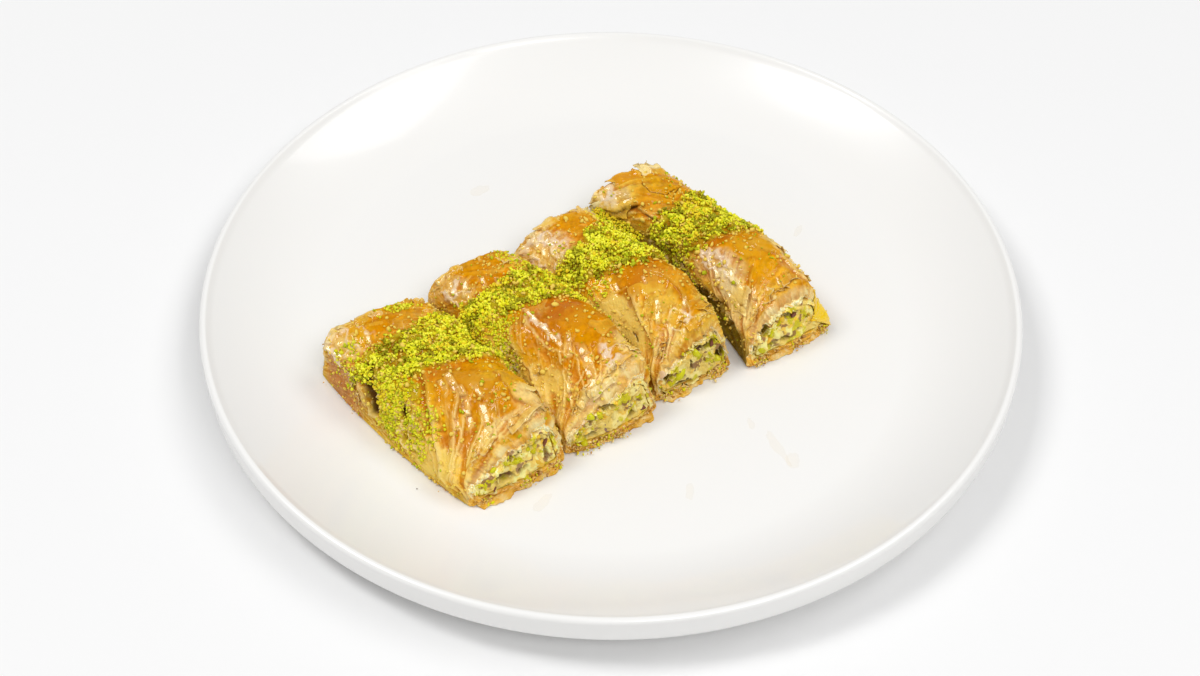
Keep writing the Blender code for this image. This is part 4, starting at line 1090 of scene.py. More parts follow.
def cut_face(number, roll, outer, inner, rings, sheets, towards, seed):
    """Rings from the skin's last section to the tunnel's, and their colours. Each sheet is a band of rings
    that stands out by its own smooth random amount, with a groove between sheets; clouds tear the cut and
    leave holes under the roof; the filling spills over the inner sheets; low down they are baked ochre. The
    holes and hollows are painted dark as painted shade, the pleats darker in their hollows and paler on
    their crests as painted shade and highlight, and the whole cut is brightened as painted light."""
    caves = roll["caves"]
    part = (np.arange(1, rings) / rings)[:, None]
    points = outer[None] * (1 - part[..., None]) + inner[None] * part[..., None]
    rough = cloud(points, 0.0034, seed, 3)
    fine = cloud(points, 0.0011, seed + 5, 3)
    grit = cloud(points, 0.0006, seed + 6, 2)
    hump = np.minimum(1, 6 * part * (1 - part))
    wobble = 0.9 * ring_random(22, seed) + 0.5 * ring_random(60, seed + 1)
    depth = part * sheets + (wobble[None, :] + 1.1 * rough) * hump
    layer = np.clip(np.floor(depth).astype(int), -2, sheets + 2)
    inside = depth - layer
    stand = np.array([ring_random(24, seed + 10 + k) for k in range(sheets + 5)])
    tone = np.array([ring_random(18, seed + 40 + k) for k in range(sheets + 5)])
    column = np.arange(AROUND)[None, :]
    tone = tone[layer + 2, column]
    groove = step_up(np.minimum(inside, 1 - inside) * 4)
    hole = step_up((caves - rough - 0.45) / 0.22) * step_up((part - 0.30) / 0.25)
    around = np.cumsum(np.linalg.norm(outer - np.roll(outer, 1, axis=0), axis=-1))[None, :] + 0 * part
    pleat = draped(around, -0.004 * part + 0 * around, seed)
    out = 0.00045 * stand[layer + 2, column] + 0.00030 * (groove - 0.6) + 0.00080 * pleat
    out = out + 0.00050 * rough + 0.00040 * fine + 0.00012 * grit - 0.0022 * hole
    low = step_up((ROLL_BASE + 0.0038 + 0.0016 * rough - points[..., 2]) / 0.0016)
    spilled = step_up((part - 0.50 + 0.26 * rough) / 0.10) * (1 - low)
    lumps = filling_lumps(points, seed + 60)
    filling = filling_tint(points, lumps, 0.45 + caves, seed + 60)
    hollow = hollow_depth(points, number, roll, towards)
    out = out * (1 - spilled) + (lumps + 0.0004) * spilled + 0.0006 * low * cloud(points, 0.0018, seed + 7, 2)
    out = out - 0.0016 * hollow
    points[..., 1] += towards * out * np.minimum(1, 5 * part)
    colour = mixed(GLASS_PALE + 0 * points, CREAM, step_up(0.3 + tone) * 0.8)
    colour = mixed(colour, STRAW, step_up(-tone * 1.5) * 0.6)
    colour = mixed(colour, AMBER, step_up(-tone * 1.6 - 0.4) * step_up(1.2 - 2 * part) * 0.7)
    # Pleats down the cut: painted shade in their hollows and painted highlight on their crests
    colour = mixed(colour, HONEY, step_up((-pleat - 0.05) / 0.4) * 0.75)
    colour = mixed(colour, SINGED, step_up((-pleat - 0.45) / 0.4) * 0.6)
    colour = mixed(colour, CREAM, step_up((pleat - 0.15) / 0.4) * 0.6)
    colour = mixed(colour, OLIVE, step_up((-fine - 0.45) / 0.2) * 0.3)
    colour = mixed(colour, WHITE_ROSE, step_up((grit - 0.25) / 0.2) * 0.5)
    colour = mixed(colour, HONEY, step_up((1 - part / 0.12)) * 0.6)
    crust = mixed(CRUST_OCHRE + 0 * points, SINGED, step_up(-tone * 1.2 + 0.4 * fine) * 0.55)
    crust = mixed(crust, CREAM, step_up((grit - 0.3) / 0.3) * 0.4)
    colour = mixed(colour, crust, low)
    colour = mixed(colour, SINGED, (1 - groove) ** 2 * 0.36)
    colour = mixed(colour, filling, spilled)
    # Painted shade: the holes under the roof and the hollows between the nuts are painted dark brown
    colour = mixed(colour, CRUMB_AND_SHADE_BROWN, np.maximum(hole * (1 - spilled), hollow) * HOLLOW_SHADE[number])
    # Painted light: the whole cut is brightened by its own amount
    return points, np.clip(colour * CUT_PAINTED_LIGHT[number] * (1 + 0.14 * grit)[..., None], 0, 1)


def roll_mesh(number, roll, material):
    """The whole closed surface of one roll with its colours, and the skin's grid for what lies on it."""
    skin = roll_grid(roll, SKIN_ROWS)
    across, relief, tint, wet, pile = skin_fields(number, roll, skin)
    skin = skin + outward(skin) * relief[..., None]
    skin[..., 2] = np.maximum(skin[..., 2], ROLL_BASE)
    seed = roll["seed"] * 100
    uneven = 0.0007 * ring_random(34, seed + 7) + 0.0005 * ring_random(90, seed + 8)
    uneven = uneven * step_up((skin[0, :, 2] - ROLL_BASE - 0.001) / 0.005)
    near_front = np.exp(-(skin[..., 1] - skin[:1, :, 1]) / 0.0025)
    skin[..., 1] += uneven * near_front
    tunnel = tunnel_grid(roll, TUNNEL_ROWS)
    back, back_tint = cut_face(number, roll, skin[-1], tunnel[-1], BACK_RINGS, BACK_SHEETS, 1, seed + 1)
    front, front_tint = cut_face(number, roll, skin[0], tunnel[0], FRONT_RINGS, FRONT_SHEETS, -1, seed + 2)
    points = np.concatenate([skin, back, tunnel[::-1], front[::-1]])
    colours = np.concatenate([tint, back_tint, KHAKI + 0 * tunnel, front_tint[::-1]])
    gloss = np.full(points.shape[:2], 0.6)
    gloss[:len(skin)] = wet
    faces = grid_faces(len(points), AROUND, close_rows=True, close_columns=True)
    piece = mesh_piece("pastry_%d_sheets" % number, points, faces, material, colours, gloss=gloss)
    return piece, skin, across, tint, pile


def tinted(name, roughness, **sockets):
    """A Principled material whose base colour is the piece's own painted colour."""
    made, tree, shader = new_material(name, (0.8, 0.8, 0.8), roughness, **sockets)
    paint = tree.nodes.new("ShaderNodeAttribute")
    paint.attribute_name = "tint"
    tree.links.new(paint.outputs["Color"], shader.inputs["Base Color"])
    return made, tree, shader


syrup_pastry, pastry_tree, pastry_shader = tinted(
    "syrup_soaked_pastry", 0.5, Coat_Roughness=0.05, Coat_IOR=1.46,
    Specular_IOR_Level=0.0, Subsurface_Weight=0.05, Subsurface_Scale=0.001)
wetness = pastry_tree.nodes.new("ShaderNodeAttribute")
wetness.attribute_name = "gloss"
pastry_tree.links.new(wetness.outputs["Fac"], pastry_shader.inputs["Coat Weight"])
pastry_shader.inputs["Subsurface Radius"].default_value = (1.0, 0.45, 0.12)
noise_bump(pastry_tree, pastry_shader, 1400.0, 3.0, 0.85, 0.0004)
noise_bump(pastry_tree, pastry_shader, 700.0, 2.0, 0.12, 0.0004, "Coat Normal")

skins = {}
for number, roll in ROLLS.items():
    sheets, skin, across, tint, pile = roll_mesh(number, roll, syrup_pastry)
    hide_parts("pastry_%d" % number)
    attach(sheets, "root")
    skins[number] = (skin, across, tint, pile)

# Nut filling
# Chopped pistachio and ground nut bound with cream, packed in each tunnel from cut to cut. Made as a closed
# core with lumpy ends, and pieces of nut set in both ends, each a ball cut flat by a few planes.
FILLING_GAP = 0.0003
CORE_ROWS = 6
CAP_RINGS = 36

# Pieces of nut and crumbs of paste at each cut: how many, smallest and largest radius, and from where to
# where between the middle (0) and the outside (above 1)
NUT_SORTS = ((9, 0.0009, 0.0014, 0.0, 1.0), (150, 0.0003, 0.0008, 0.2, 1.9))
SMALL_NUT = 0.0009

NUT_BRIGHT = linear(224, 216, 30)
NUT_FRESH = linear(214, 210, 26)
NUT_VIOLET = linear(150, 112, 104)
PALE_ROSE = linear(242, 208, 164)

# Single nuts that show in the front cuts, in mm: x, z and radius, and their colour. The back cuts have the
# same, mirrored.
SEEN_NUTS = {
    1: ((-58.0, 18.8, 1.2, NUT_GREEN), (-56.0, 16.8, 1.3, NUT_GREEN), (-61.6, 16.4, 1.6, NUT_FRESH),
        (-54.6, 11.6, 2.5, NUT_YELLOW), (-69.0, 16.2, 1.6, NUT_FRESH), (-72.6, 12.4, 1.7, NUT_FRESH),
        (-60.0, 8.6, 1.4, NUT_GREEN), (-51.9, 17.0, 1.2, NUT_SKIN), (-64.1, 10.6, 1.5, PASTE_PALE),
        (-66.4, 15.4, 2.0, PASTE_PALE), (-50.6, 15.4, 1.0, PALE_ROSE), (-70.4, 9.6, 1.2, NUT_SKIN)),
    2: ((-24.4, 18.2, 2.8, NUT_FRESH), (-16.7, 15.6, 1.8, NUT_GREEN), (-34.9, 17.0, 1.7, NUT_FRESH),
        (-29.7, 11.6, 2.1, NUT_VIOLET), (-37.6, 8.8, 1.7, NUT_GREEN), (-22.6, 9.2, 2.2, NUT_YELLOW),
        (-32.6, 14.4, 1.8, PASTE), (-19.4, 12.8, 1.3, PASTE_PALE), (-27.0, 14.6, 1.4, PASTE_PALE),
        (-16.2, 10.4, 1.2, NUT_SKIN)),
    3: ((6.8, 17.2, 3.2, NUT_FRESH), (11.8, 15.6, 2.1, NUT_FRESH), (1.2, 14.0, 2.9, NUT_FRESH),
        (-4.2, 11.0, 1.8, NUT_GREEN), (11.4, 12.2, 1.8, NUT_GREEN), (16.2, 17.4, 1.5, PASTE_PALE),
        (12.8, 18.8, 1.3, NUT_SKIN), (7.2, 12.6, 1.9, PASTE_PALE), (-6.0, 15.4, 1.3, PALE_ROSE),
        (4.0, 10.2, 1.3, NUT_SKIN)),
    4: ((35.4, 18.2, 1.5, NUT_GREEN), (33.0, 15.4, 1.6, NUT_FRESH), (45.4, 17.2, 1.6, NUT_FRESH),
        (28.8, 11.2, 2.3, NUT_FRESH), (31.6, 13.0, 1.6, NUT_YELLOW), (40.4, 15.0, 2.6, PASTE),
        (36.2, 13.6, 1.6, PASTE_PALE), (35.2, 10.2, 1.3, NUT_SKIN), (41.6, 18.6, 1.4, NUT_SKIN)),
}


def core_cap(number, roll, ring, towards, seed):
    """Rings from a core's edge to its middle, with rounded lumps of paste: clouds of three sizes."""
    heart = ring.mean(axis=0)
    part = (np.arange(1, CAP_RINGS + 1) / (CAP_RINGS + 1))[:, None, None]
    points = ring[None] * (1 - part) + heart * part
    outwards = ring - heart
    outwards = outwards / np.linalg.norm(outwards, axis=-1, keepdims=True)
    spill = 0.0010 * np.maximum(0, 0.6 + cloud(ring, 0.0030, seed + 9, 2))
    spill = (spill * step_up((ring[:, 2] - ROLL_BASE - FLOOR_WALL - 0.0006) / 0.001))[None, :, None]
    points = points + outwards * spill * np.sin(np.pi * np.minimum(part / 0.25, 1))
    lumps = filling_lumps(points, seed)
    deep = hollow_depth(points, number, roll, towards)
    points[..., 1] += towards * (lumps + 0.0006 - 0.0018 * deep) * np.minimum(1, 12 * part[..., 0])
    # Painted light on the whole cap, and painted shade in its hollows
    tint = np.clip(filling_tint(points, lumps, 0.40 + 0.6 * roll["caves"], seed) * CUT_PAINTED_LIGHT[number], 0, 1)
    return points, mixed(tint, CRUMB_AND_SHADE_BROWN, deep * HOLLOW_SHADE[number])


def core_mesh(number, roll, material):
    """A closed core: rows of sections between two lumpy caps that end in a point."""
    core = tunnel_grid(roll, CORE_ROWS, FILLING_GAP)
    seed = roll["seed"] * 100
    front, front_tint = core_cap(number, roll, core[0], -1, seed + 62)
    back, back_tint = core_cap(number, roll, core[-1], 1, seed + 61)
    points = np.concatenate([front[::-1], core, back])
    colours = np.concatenate([front_tint[::-1], PASTE + 0 * core, back_tint])
    ends = [points[0].mean(axis=0), points[-1].mean(axis=0)]
    places = np.concatenate([points.reshape(-1, 3), ends])
    tint = np.concatenate([colours.reshape(-1, 3), colours[0, :1], colours[-1, :1]])
    return mesh_piece("filling_%d_core" % number, places, capped_faces(len(points), AROUND), material, tint)


def unit_ball(subdivisions):
    """Points and triangles of a ball of radius 1."""
    made = bmesh.new()
    bmesh.ops.create_icosphere(made, subdivisions=subdivisions, radius=1.0)
    points = np.array([vertex.co[:] for vertex in made.verts])
    faces = np.array([[vertex.index for vertex in face.verts] for face in made.faces])
    made.free()
    return points, faces


def random_turns(count, rng):
    """Rotation matrices of random unit quaternions."""
    w, x, y, z = rng.normal(size=(count, 4)).T
    size = np.sqrt(w * w + x * x + y * y + z * z)
    w, x, y, z = w / size, x / size, y / size, z / size
    rows = [1 - 2 * (y * y + z * z), 2 * (x * y - w * z), 2 * (x * z + w * y),
            2 * (x * y + w * z), 1 - 2 * (x * x + z * z), 2 * (y * z - w * x),
            2 * (x * z - w * y), 2 * (y * z + w * x), 1 - 2 * (x * x + y * y)]
    return np.stack(rows, axis=1).reshape(-1, 3, 3)


def random_stretch(rng, count, *ranges):
    """How far each bit is drawn out along its own three axes, each a random number from its range."""
    return np.stack([rng.uniform(low, high, count) for low, high in ranges], axis=1)


def broken_bits(places, sizes, stretch, cuts, subdivisions, rng):
    """Balls stretched, cut flat by random planes and turned at random: points (n, k, 3) and their triangles.
    A cut moves every point beyond a plane back onto it."""
    ball, faces = unit_ball(subdivisions)
    count = len(places)
    points = ball[None] * (1 + rng.uniform(-0.12, 0.12, (count, len(ball), 1)))
    for _ in range(cuts):
        plane = rng.normal(size=(count, 1, 3))
        plane /= np.linalg.norm(plane, axis=-1, keepdims=True)
        beyond = (points * plane).sum(axis=-1, keepdims=True) - rng.uniform(0.3, 0.75, (count, 1, 1))
        points = points - np.maximum(beyond, 0) * plane
    points = points * stretch[:, None, :] * sizes[:, None, None]
    points = np.einsum("nij,nkj->nki", random_turns(count, rng), points) + places[:, None, :]
    triangles = faces[None] + (np.arange(count) * len(ball))[:, None, None]
    return points, triangles.reshape(-1, 3)


def nuts_in_cuts(number, roll, material):
    """Pieces of pistachio sunk in both ends of a core: green kernel, some yellow, some in dark skin."""
    rng = np.random.default_rng(roll["seed"] + 300)
    core = tunnel_grid(roll, CORE_ROWS, FILLING_GAP)
    wall = roll_grid(roll, CORE_ROWS)
    seen = SEEN_NUTS[number]
    seen_size = np.array([nut[2] for nut in seen]) * MM
    places = []
    sizes = []
    for towards in (-1, 1):
        spot = on_cut(roll, [nut[0] for nut in seen], [nut[1] for nut in seen], towards)
        spot[:, 1] -= towards * (seen_size * 0.45 - 0.0004)
        places.append(spot)
        sizes.append(seen_size)
    for end, towards in ((0, -1), (-1, 1)):
        heart = core[end].mean(axis=0)
        for count, smallest, largest, reach_from, reach_to in NUT_SORTS:
            reach = np.sqrt(rng.uniform(reach_from, reach_to, count))[:, None]
            column = rng.integers(0, AROUND, count)
            spot = heart + (core[end][column] - heart) * np.minimum(reach, 1)
            spot = spot + (wall[end][column] - core[end][column]) * np.maximum(reach - 1, 0) * 2
            size = rng.uniform(smallest, largest, count)
            spot[:, 1] += towards * rng.uniform(-0.0004, 0.0004, count) - towards * size * 0.35
            keep = reach[:, 0] < 1.15 + 0.7 * (spot[:, 2] < ROLL_BASE + 0.006)
            keep = keep & (hollow_depth(spot, number, roll, towards) < 0.5)
            places.append(spot[keep])
            sizes.append(size[keep])
    places = np.concatenate(places)
    sizes = np.concatenate(sizes)
    count = len(places)
    stretch = random_stretch(rng, count, (0.9, 1.7), (0.6, 0.9), (0.7, 1.0))
    points, triangles = broken_bits(places, sizes, stretch, 5, 2, rng)
    kind = rng.uniform(0, 1, count)
    colours = mixed(NUT_GREEN + np.zeros((count, 3)), NUT_BRIGHT, rng.uniform(0, 1, count))
    colours = mixed(colours, NUT_YELLOW, (kind > 0.80) * 0.8)
    colours = mixed(colours, NUT_SKIN, (kind < 0.10) * 0.85)
    colours[:2 * len(seen)] = np.array([nut[3] for nut in seen] * 2)
    small = (sizes < SMALL_NUT) & (np.arange(count) >= 2 * len(seen))
    colours = mixed(colours, PASTE_PALE, ((kind > 0.45) & small) * 0.9)
    baked = small & (places[:, 2] < ROLL_BASE + 0.0036)
    colours = mixed(colours, CRUST_OCHRE, baked * rng.choice([0.0, 0.8, 1.0], count))
    colours = mixed(colours, SINGED, baked * rng.choice([0.0, 0.0, 0.6], count))
    colours = np.repeat(colours[:, None, :], points.shape[1], axis=1)
    mottle = cloud(points, 0.0014, roll["seed"] + 301, 2)
    colours = mixed(colours, NUT_SKIN, step_up(mottle * 2 - 0.9) * 0.6) * (1 + 0.12 * mottle[..., None])
    return mesh_piece("filling_%d_nuts" % number, points, triangles, material, np.clip(colours, 0, 1))


soft_paste, paste_tree, paste_shader = tinted(
    "nut_paste", 0.5, Coat_Weight=0.3, Coat_Roughness=0.12, Specular_IOR_Level=0.1)
noise_bump(paste_tree, paste_shader, 1800.0, 4.0, 0.5, 0.0005)
cut_nut, nut_tree, nut_shader = tinted(
    "cut_pistachio", 0.5, Coat_Weight=0.25, Coat_Roughness=0.15, Specular_IOR_Level=0.1)
noise_bump(nut_tree, nut_shader, 900.0, 4.0, 0.3, 0.0003)

for number, roll in ROLLS.items():
    core = core_mesh(number, roll, soft_paste)
    nuts = nuts_in_cuts(number, roll, cut_nut)
    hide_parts("filling_%d" % number)
    for piece in (core, nuts):
        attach(piece, "root")

# Ground pistachio
# Peeled pistachio ground to grains of about 0.5 to 1.5 mm, heaped over each saddle after baking and dusted
# further out. Each grain is a small ball cut flat by planes, and they stay where the syrup holds them.
GRAINS_IN_BAND = 3500
GRAINS_OUTSIDE = 900
GRAIN_TRIES = 60000
GRAIN_SMALLEST = 0.00026
GRAIN_LARGEST = 0.00056
BAND_FRAY = 0.0030
DUST_FRAY = 0.014
DUST_FAR = 0.18
DUST_NEAR = 0.82
DUST_SIZES = (0.75, 0.9, 1.3)
DEEP_PLACE = 0.16
WEDGED = 420
WEDGE_FRONT = 0.013
WEDGE_BACK = 0.031
WEDGE_HEIGHT = 0.0195
WEDGE_RISE = 0.10
WEDGE_LEVEL_Y = 0.009
GRAIN_GREEN = linear(230, 224, 0)
GRAIN_LIME = linear(255, 252, 80)
GRAIN_DEEP = linear(176, 190, 6)
GRAIN_OCHRE = linear(240, 208, 36)
GRAIN_BROWN = linear(180, 136, 36)
GRAIN_SOAKED = linear(255, 220, 104)
GRAIN_PAINTED_SHADE = linear(130, 122, 0)

# Grains that rolled into the valleys: share across, y from and to in mm, how many
TRAILS = {
    1: ((0.86, -13, -30, 70), (0.25, -3, -22, 190), (0.19, -3, -11, 200), (0.31, 2, -11, 330),
        (0.27, 9, 20, 120), (0.20, -8, -26, 240), (0.10, -8, -24, 110), (0.62, 22, 27, 90)),
    2: ((0.84, -2, -36, 330), (0.16, -4, -14, 110), (0.66, 16, 29, 90), (0.30, 6, -4, 200),
        (0.22, 8, -8, 240)),
    3: ((0.86, -4, -20, 90), (0.30, 0, -6, 60), (0.76, 22, 31, 130)),
    4: ((0.17, 9, -14, 130), (0.84, -8, -30, 60)),
}


def on_skin(skin, column, row):
    """Points and normals of a skin's grid at fractional columns and rows, by blending four neighbours."""
    normal = outward(skin)
    left = np.clip(np.floor(column).astype(int), 0, SKIN_COLUMNS - 2)
    low = np.clip(np.floor(row).astype(int), 0, len(skin) - 2)
    a = np.clip(column - left, 0, 1)[:, None]
    b = np.clip(row - low, 0, 1)[:, None]
    blended = []
    for grid in (skin, normal):
        front = grid[low, left] * (1 - a) + grid[low, left + 1] * a
        back = grid[low + 1, left] * (1 - a) + grid[low + 1, left + 1] * a
        blended.append(front * (1 - b) + back * b)
    return blended[0], blended[1] / np.linalg.norm(blended[1], axis=-1, keepdims=True)


def wedged_places(rng):
    """Places of the grains caught between the third and the fourth roll at the back: across the gap at
    random, and up to a level that is a cloud."""
    y = rng.uniform(WEDGE_FRONT, WEDGE_BACK, WEDGED)
    part = rng.uniform(-0.25, 1.25, WEDGED)
    x = through(SEAM_3_LEFT, y) * (1 - part) + through(SEAM_3_RIGHT, y) * part
    level = WEDGE_HEIGHT + WEDGE_RISE * (y - WEDGE_LEVEL_Y)
    level = level + 0.0012 * cloud(np.stack([x, y, 0 * x], axis=-1), 0.004, 99, 2)
    return np.stack([x, y, level - rng.exponential(0.0009, WEDGED)], axis=-1)


def trail_places(number, roll, rng):
    """Columns and rows of the grains in the valleys, scattered about each trail's line."""
    columns = []
    rows = []
    for share, start, end, count in TRAILS[number]:
        y = (start + (end - start) * rng.uniform(0, 1, count) ** 1.3) * MM
        rows.append((y - roll["front"]) / (roll["back"] - roll["front"]) * (SKIN_ROWS - 1))
        columns.append((share + rng.normal(0, 0.045, count)) * (SKIN_COLUMNS - 1))
    return np.concatenate(columns), np.clip(np.concatenate(rows), 2, SKIN_ROWS - 3)


def grains_on(number, roll, skin, across, tint, pile, material):
    """Grains over one roll. Random places on the skin are kept by a chance that is full inside the band and
    falls off outside. Inside they lie thickly in clumps, lifted a little at random; the low ones are painted
    darker as painted shade and the high ones a brighter lime as painted light."""
    rng = np.random.default_rng(roll["seed"] + 500)
    column = rng.uniform(2, SKIN_COLUMNS - 3, GRAIN_TRIES)
    row = rng.uniform(2, SKIN_ROWS - 3, GRAIN_TRIES)
    spot, _ = on_skin(skin, column, row)
    share = across[row.astype(int), column.astype(int)]
    ragged = spot[:, 1] + 0.0022 * cloud(spot, 0.0045, roll["seed"] + 90, 3)
    clump = cloud(spot, 0.0024, roll["seed"] + 91, 2)
    chance = band_mask(number, share, ragged, BAND_FRAY) * step_up(0.75 + clump)
    inside = rng.uniform(0, 1, GRAIN_TRIES) < chance
    picked = np.flatnonzero(inside)[:GRAINS_IN_BAND]
    dust_chance = DUST_FAR + DUST_NEAR * band_mask(number, share, ragged, DUST_FRAY)
    far = np.flatnonzero(~inside & (rng.uniform(0, 1, GRAIN_TRIES) < dust_chance))[:GRAINS_OUTSIDE]
    trail_column, trail_row = trail_places(number, roll, rng)
    spare = np.full(WEDGED if number == 4 else 0, 5.0)
    bright = tint[trail_row.astype(int), trail_column.astype(int)].sum(axis=-1) > DEEP_PLACE
    column = np.concatenate([column[picked], column[far], trail_column[bright], spare])
    row = np.concatenate([row[picked], row[far], trail_row[bright], spare])
    places, normal = on_skin(skin, column, row)
    count = len(places)
    dusted = slice(len(picked), len(picked) + len(far))
    sizes = rng.uniform(GRAIN_SMALLEST, GRAIN_LARGEST, count)
    sizes = sizes * np.where(rng.uniform(0, 1, count) < 0.20, 1.45, 1.0)
    sizes[dusted] *= rng.choice(DUST_SIZES, len(far))
    level = pile[row.astype(int), column.astype(int)] * 0.7 + rng.uniform(0.0, 0.3, count)
    lift = rng.uniform(0.0, 0.0005, count)
    lift[len(picked):] = 0.0
    places = places + normal * (lift + sizes * 0.45)[:, None]
    if number == 4:
        places[-WEDGED:] = wedged_places(rng)
    stretch = random_stretch(rng, count, (0.9, 1.5), (0.8, 1.1), (0.6, 1.0))
    points, triangles = broken_bits(places, sizes, stretch, 3, 1, rng)
    kind = rng.uniform(0, 1, count)
    # Painted light: grains high on the heap are a brighter lime
    lime = rng.uniform(0, 1.1, count) * (0.4 + 0.6 * level)
    colours = mixed(GRAIN_GREEN + np.zeros((count, 3)), GRAIN_LIME, lime)
    colours = mixed(colours, GRAIN_DEEP, (kind > 0.84) * 0.8)
    golden = 0.06 + 0.44 * step_up(cloud(places, 0.009, roll["seed"] + 93, 2) + 0.1)
    golden[dusted] = 0.85
    if number == 4:
        golden[-WEDGED:] = 0.7
    colours = mixed(colours, GRAIN_OCHRE, (kind < golden) * 0.9)
    colours = mixed(colours, GRAIN_BROWN, (kind < 0.04) * 0.8)
    soaked = np.zeros(count)
    soaked[dusted] = 0.85
    colours = mixed(colours, GRAIN_SOAKED, soaked * (kind < 0.86))
    # Painted shade: grains low in the heap are darker, and the loose ones a little
    shaded = step_up((0.50 - level) / 0.4) * 0.85
    shaded[len(picked):] = 0.15
    colours = mixed(colours, GRAIN_PAINTED_SHADE, shaded)
    colours = np.repeat(colours[:, None, :], points.shape[1], axis=1)
    return mesh_piece("pistachio_%d_ground" % number, points, triangles, material, colours, smooth=False)


ground_nut = tinted("ground_pistachio", 0.6, Specular_IOR_Level=0.2)[0]

for number, roll in ROLLS.items():
    skin, across, tint, pile = skins[number]
    grains = grains_on(number, roll, skin, across, tint, pile, ground_nut)
    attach(grains, "root")

# Torn flakes
# Scraps and loose corners of the outermost sheets, brittle from the oven, which lift at one edge. Each is a
# thin curved sheet with a ragged outline that follows the skin below it and is rooted at its back edge.
FLAKE_THICKNESS = 0.00016
FLAKE_GRID = 22
TALL_LIFT = 1.5
HUNG_THICKNESS = FLAKE_THICKNESS * 1.5
UNDER_SHADE = 0.8

# About how long a skin is across, from floor to floor, by which a flake's width becomes a share
SKIN_LENGTH = 0.064

# Glassy yellow painted brighter, as painted light shining through the sheet that hangs over the fourth roll's
# cut
YELLOW_WITH_PAINTED_GLOW = linear(255, 212, 30)

# Large flakes, as seen: share across, y, half widths across and along in mm, turn in degrees, lift of the
# free edge in mm, colour at the root and at the free edge
FLAKES = {
    1: ((0.56, -36.5, 6.0, 2.4, 8, 1.1, HONEY, CREAM), (0.34, -36.5, 3.0, 2.0, 30, 0.9, STRAW, CREAM),
        (0.20, 13, 1.6, 6.0, 12, 0.9, PANEL_BROWN, CREAM), (0.60, 14.5, 3.4, 2.2, -20, 0.6, AMBER, STRAW),
        (0.68, -29, 2.2, 3.6, 10, 0.7, STRAW, CREAM), (0.42, 24.5, 5.0, 2.0, 185, 0.8, STRAW, CREAM)),
    2: ((0.57, -34.5, 3.0, 2.0, 6, 1.2, AMBER, GLASSY_YELLOW), (0.43, -36.5, 4.0, 1.8, 0, 0.9, CREAM, CREAM),
        (0.30, -35.0, 2.4, 2.6, 25, 0.8, STRAW, CREAM), (0.66, -31, 2.2, 3.6, 10, 0.7, STRAW, CREAM),
        (0.62, 24, 2.4, 4.6, 5, 0.7, STRAW, CREAM), (0.36, 27, 5.0, 1.8, 180, 0.7, STRAW, CREAM)),
    3: ((0.60, -31.5, 3.0, 2.4, 10, 1.3, AMBER, STRAW), (0.50, -34, 2.6, 2.0, 0, 1.0, AMBER, GLASSY_YELLOW),
        (0.31, -31.5, 1.6, 2.6, 40, 1.1, AMBER, GLASSY_YELLOW), (0.66, -28, 1.8, 4.0, 5, 0.7, STRAW, CREAM),
        (0.28, 27, 4.0, 2.2, 180, 1.0, PALE_ROSE, CREAM), (0.44, 29, 4.0, 2.0, 185, 0.9, STRAW, CREAM),
        (0.66, 27.5, 3.0, 3.0, 150, 0.9, GLASSY_YELLOW, CREAM),
        (0.72, 28.5, 3.2, 3.4, 135, 2.2, GLASS_PALE, CREAM),
        (0.76, 24.5, 2.4, 2.8, 120, 1.9, GLASSY_YELLOW, CREAM)),
    4: ((0.27, -29, 4.6, 6.0, 25, 1.3, STRAW, CREAM), (0.40, -36.5, 2.4, 3.0, 30, 1.0, STRAW, CREAM),
        (0.56, -36, 4.0, 2.2, 0, 0.6, AMBER, CREAM), (0.30, 27, 6.0, 5.0, -60, 1.2, STRAW, STRAW),
        (0.46, 31.5, 5.0, 2.6, 180, 1.6, AMBER, STRAW), (0.58, 32.4, 2.6, 2.8, 180, 2.6, CREAM, CREAM),
        (0.64, 32.0, 2.4, 2.4, 172, 1.8, CREAM, CREAM), (0.20, 27, 3.6, 5.0, 250, 2.6, GLASS_PALE, CREAM),
        (0.24, 31, 2.4, 3.0, 200, 1.6, GLASS_PALE, CREAM), (0.64, 30, 3.0, 2.4, 170, 1.0, STRAW, CREAM),
        (0.64, -22, 2.0, 5.0, 5, 0.8, STRAW, CREAM)),
}
SMALL_FLAKES = 34

# Outer sheets that hang over the front cut: share across from and to, reach over the face as a share of the
# wall there, how crinkled, colour, colour of the hanging edge
HUNG = {4: ((0.74, 0.975, 2.1, 0.25, YELLOW_WITH_PAINTED_GLOW, GLASSY_YELLOW),)}
HUNG_ROWS = 26
HUNG_OVER = 7


def thin_sheet(points, normal, thickness, rows, columns):
    """A closed shell of a grid: the grid, its copy moved in by the thickness, and a rim."""
    size = rows * columns
    top = grid_faces(rows, columns)
    below = top[:, ::-1] + size
    edge = np.concatenate([np.arange(columns - 1), np.arange(columns - 1, size - 1, columns),
                           np.arange(size - 1, size - columns, -1), np.arange(size - columns, 0, -columns)])
    after = np.roll(edge, -1)
    rim = np.stack([after, edge, edge + size, after + size], axis=1)
    return np.concatenate([points, points - normal * thickness]), np.concatenate([top, below, rim])


def joined(shells):
    """Separate shells, each its points and faces, as one mesh: the points end to end, and each shell's faces
    counted on from the points before it."""
    starts = np.cumsum([0] + [len(points) for points, _ in shells])
    faces = [shell[1] + start for shell, start in zip(shells, starts)]
    return np.concatenate([shell[0] for shell in shells]), np.concatenate(faces)


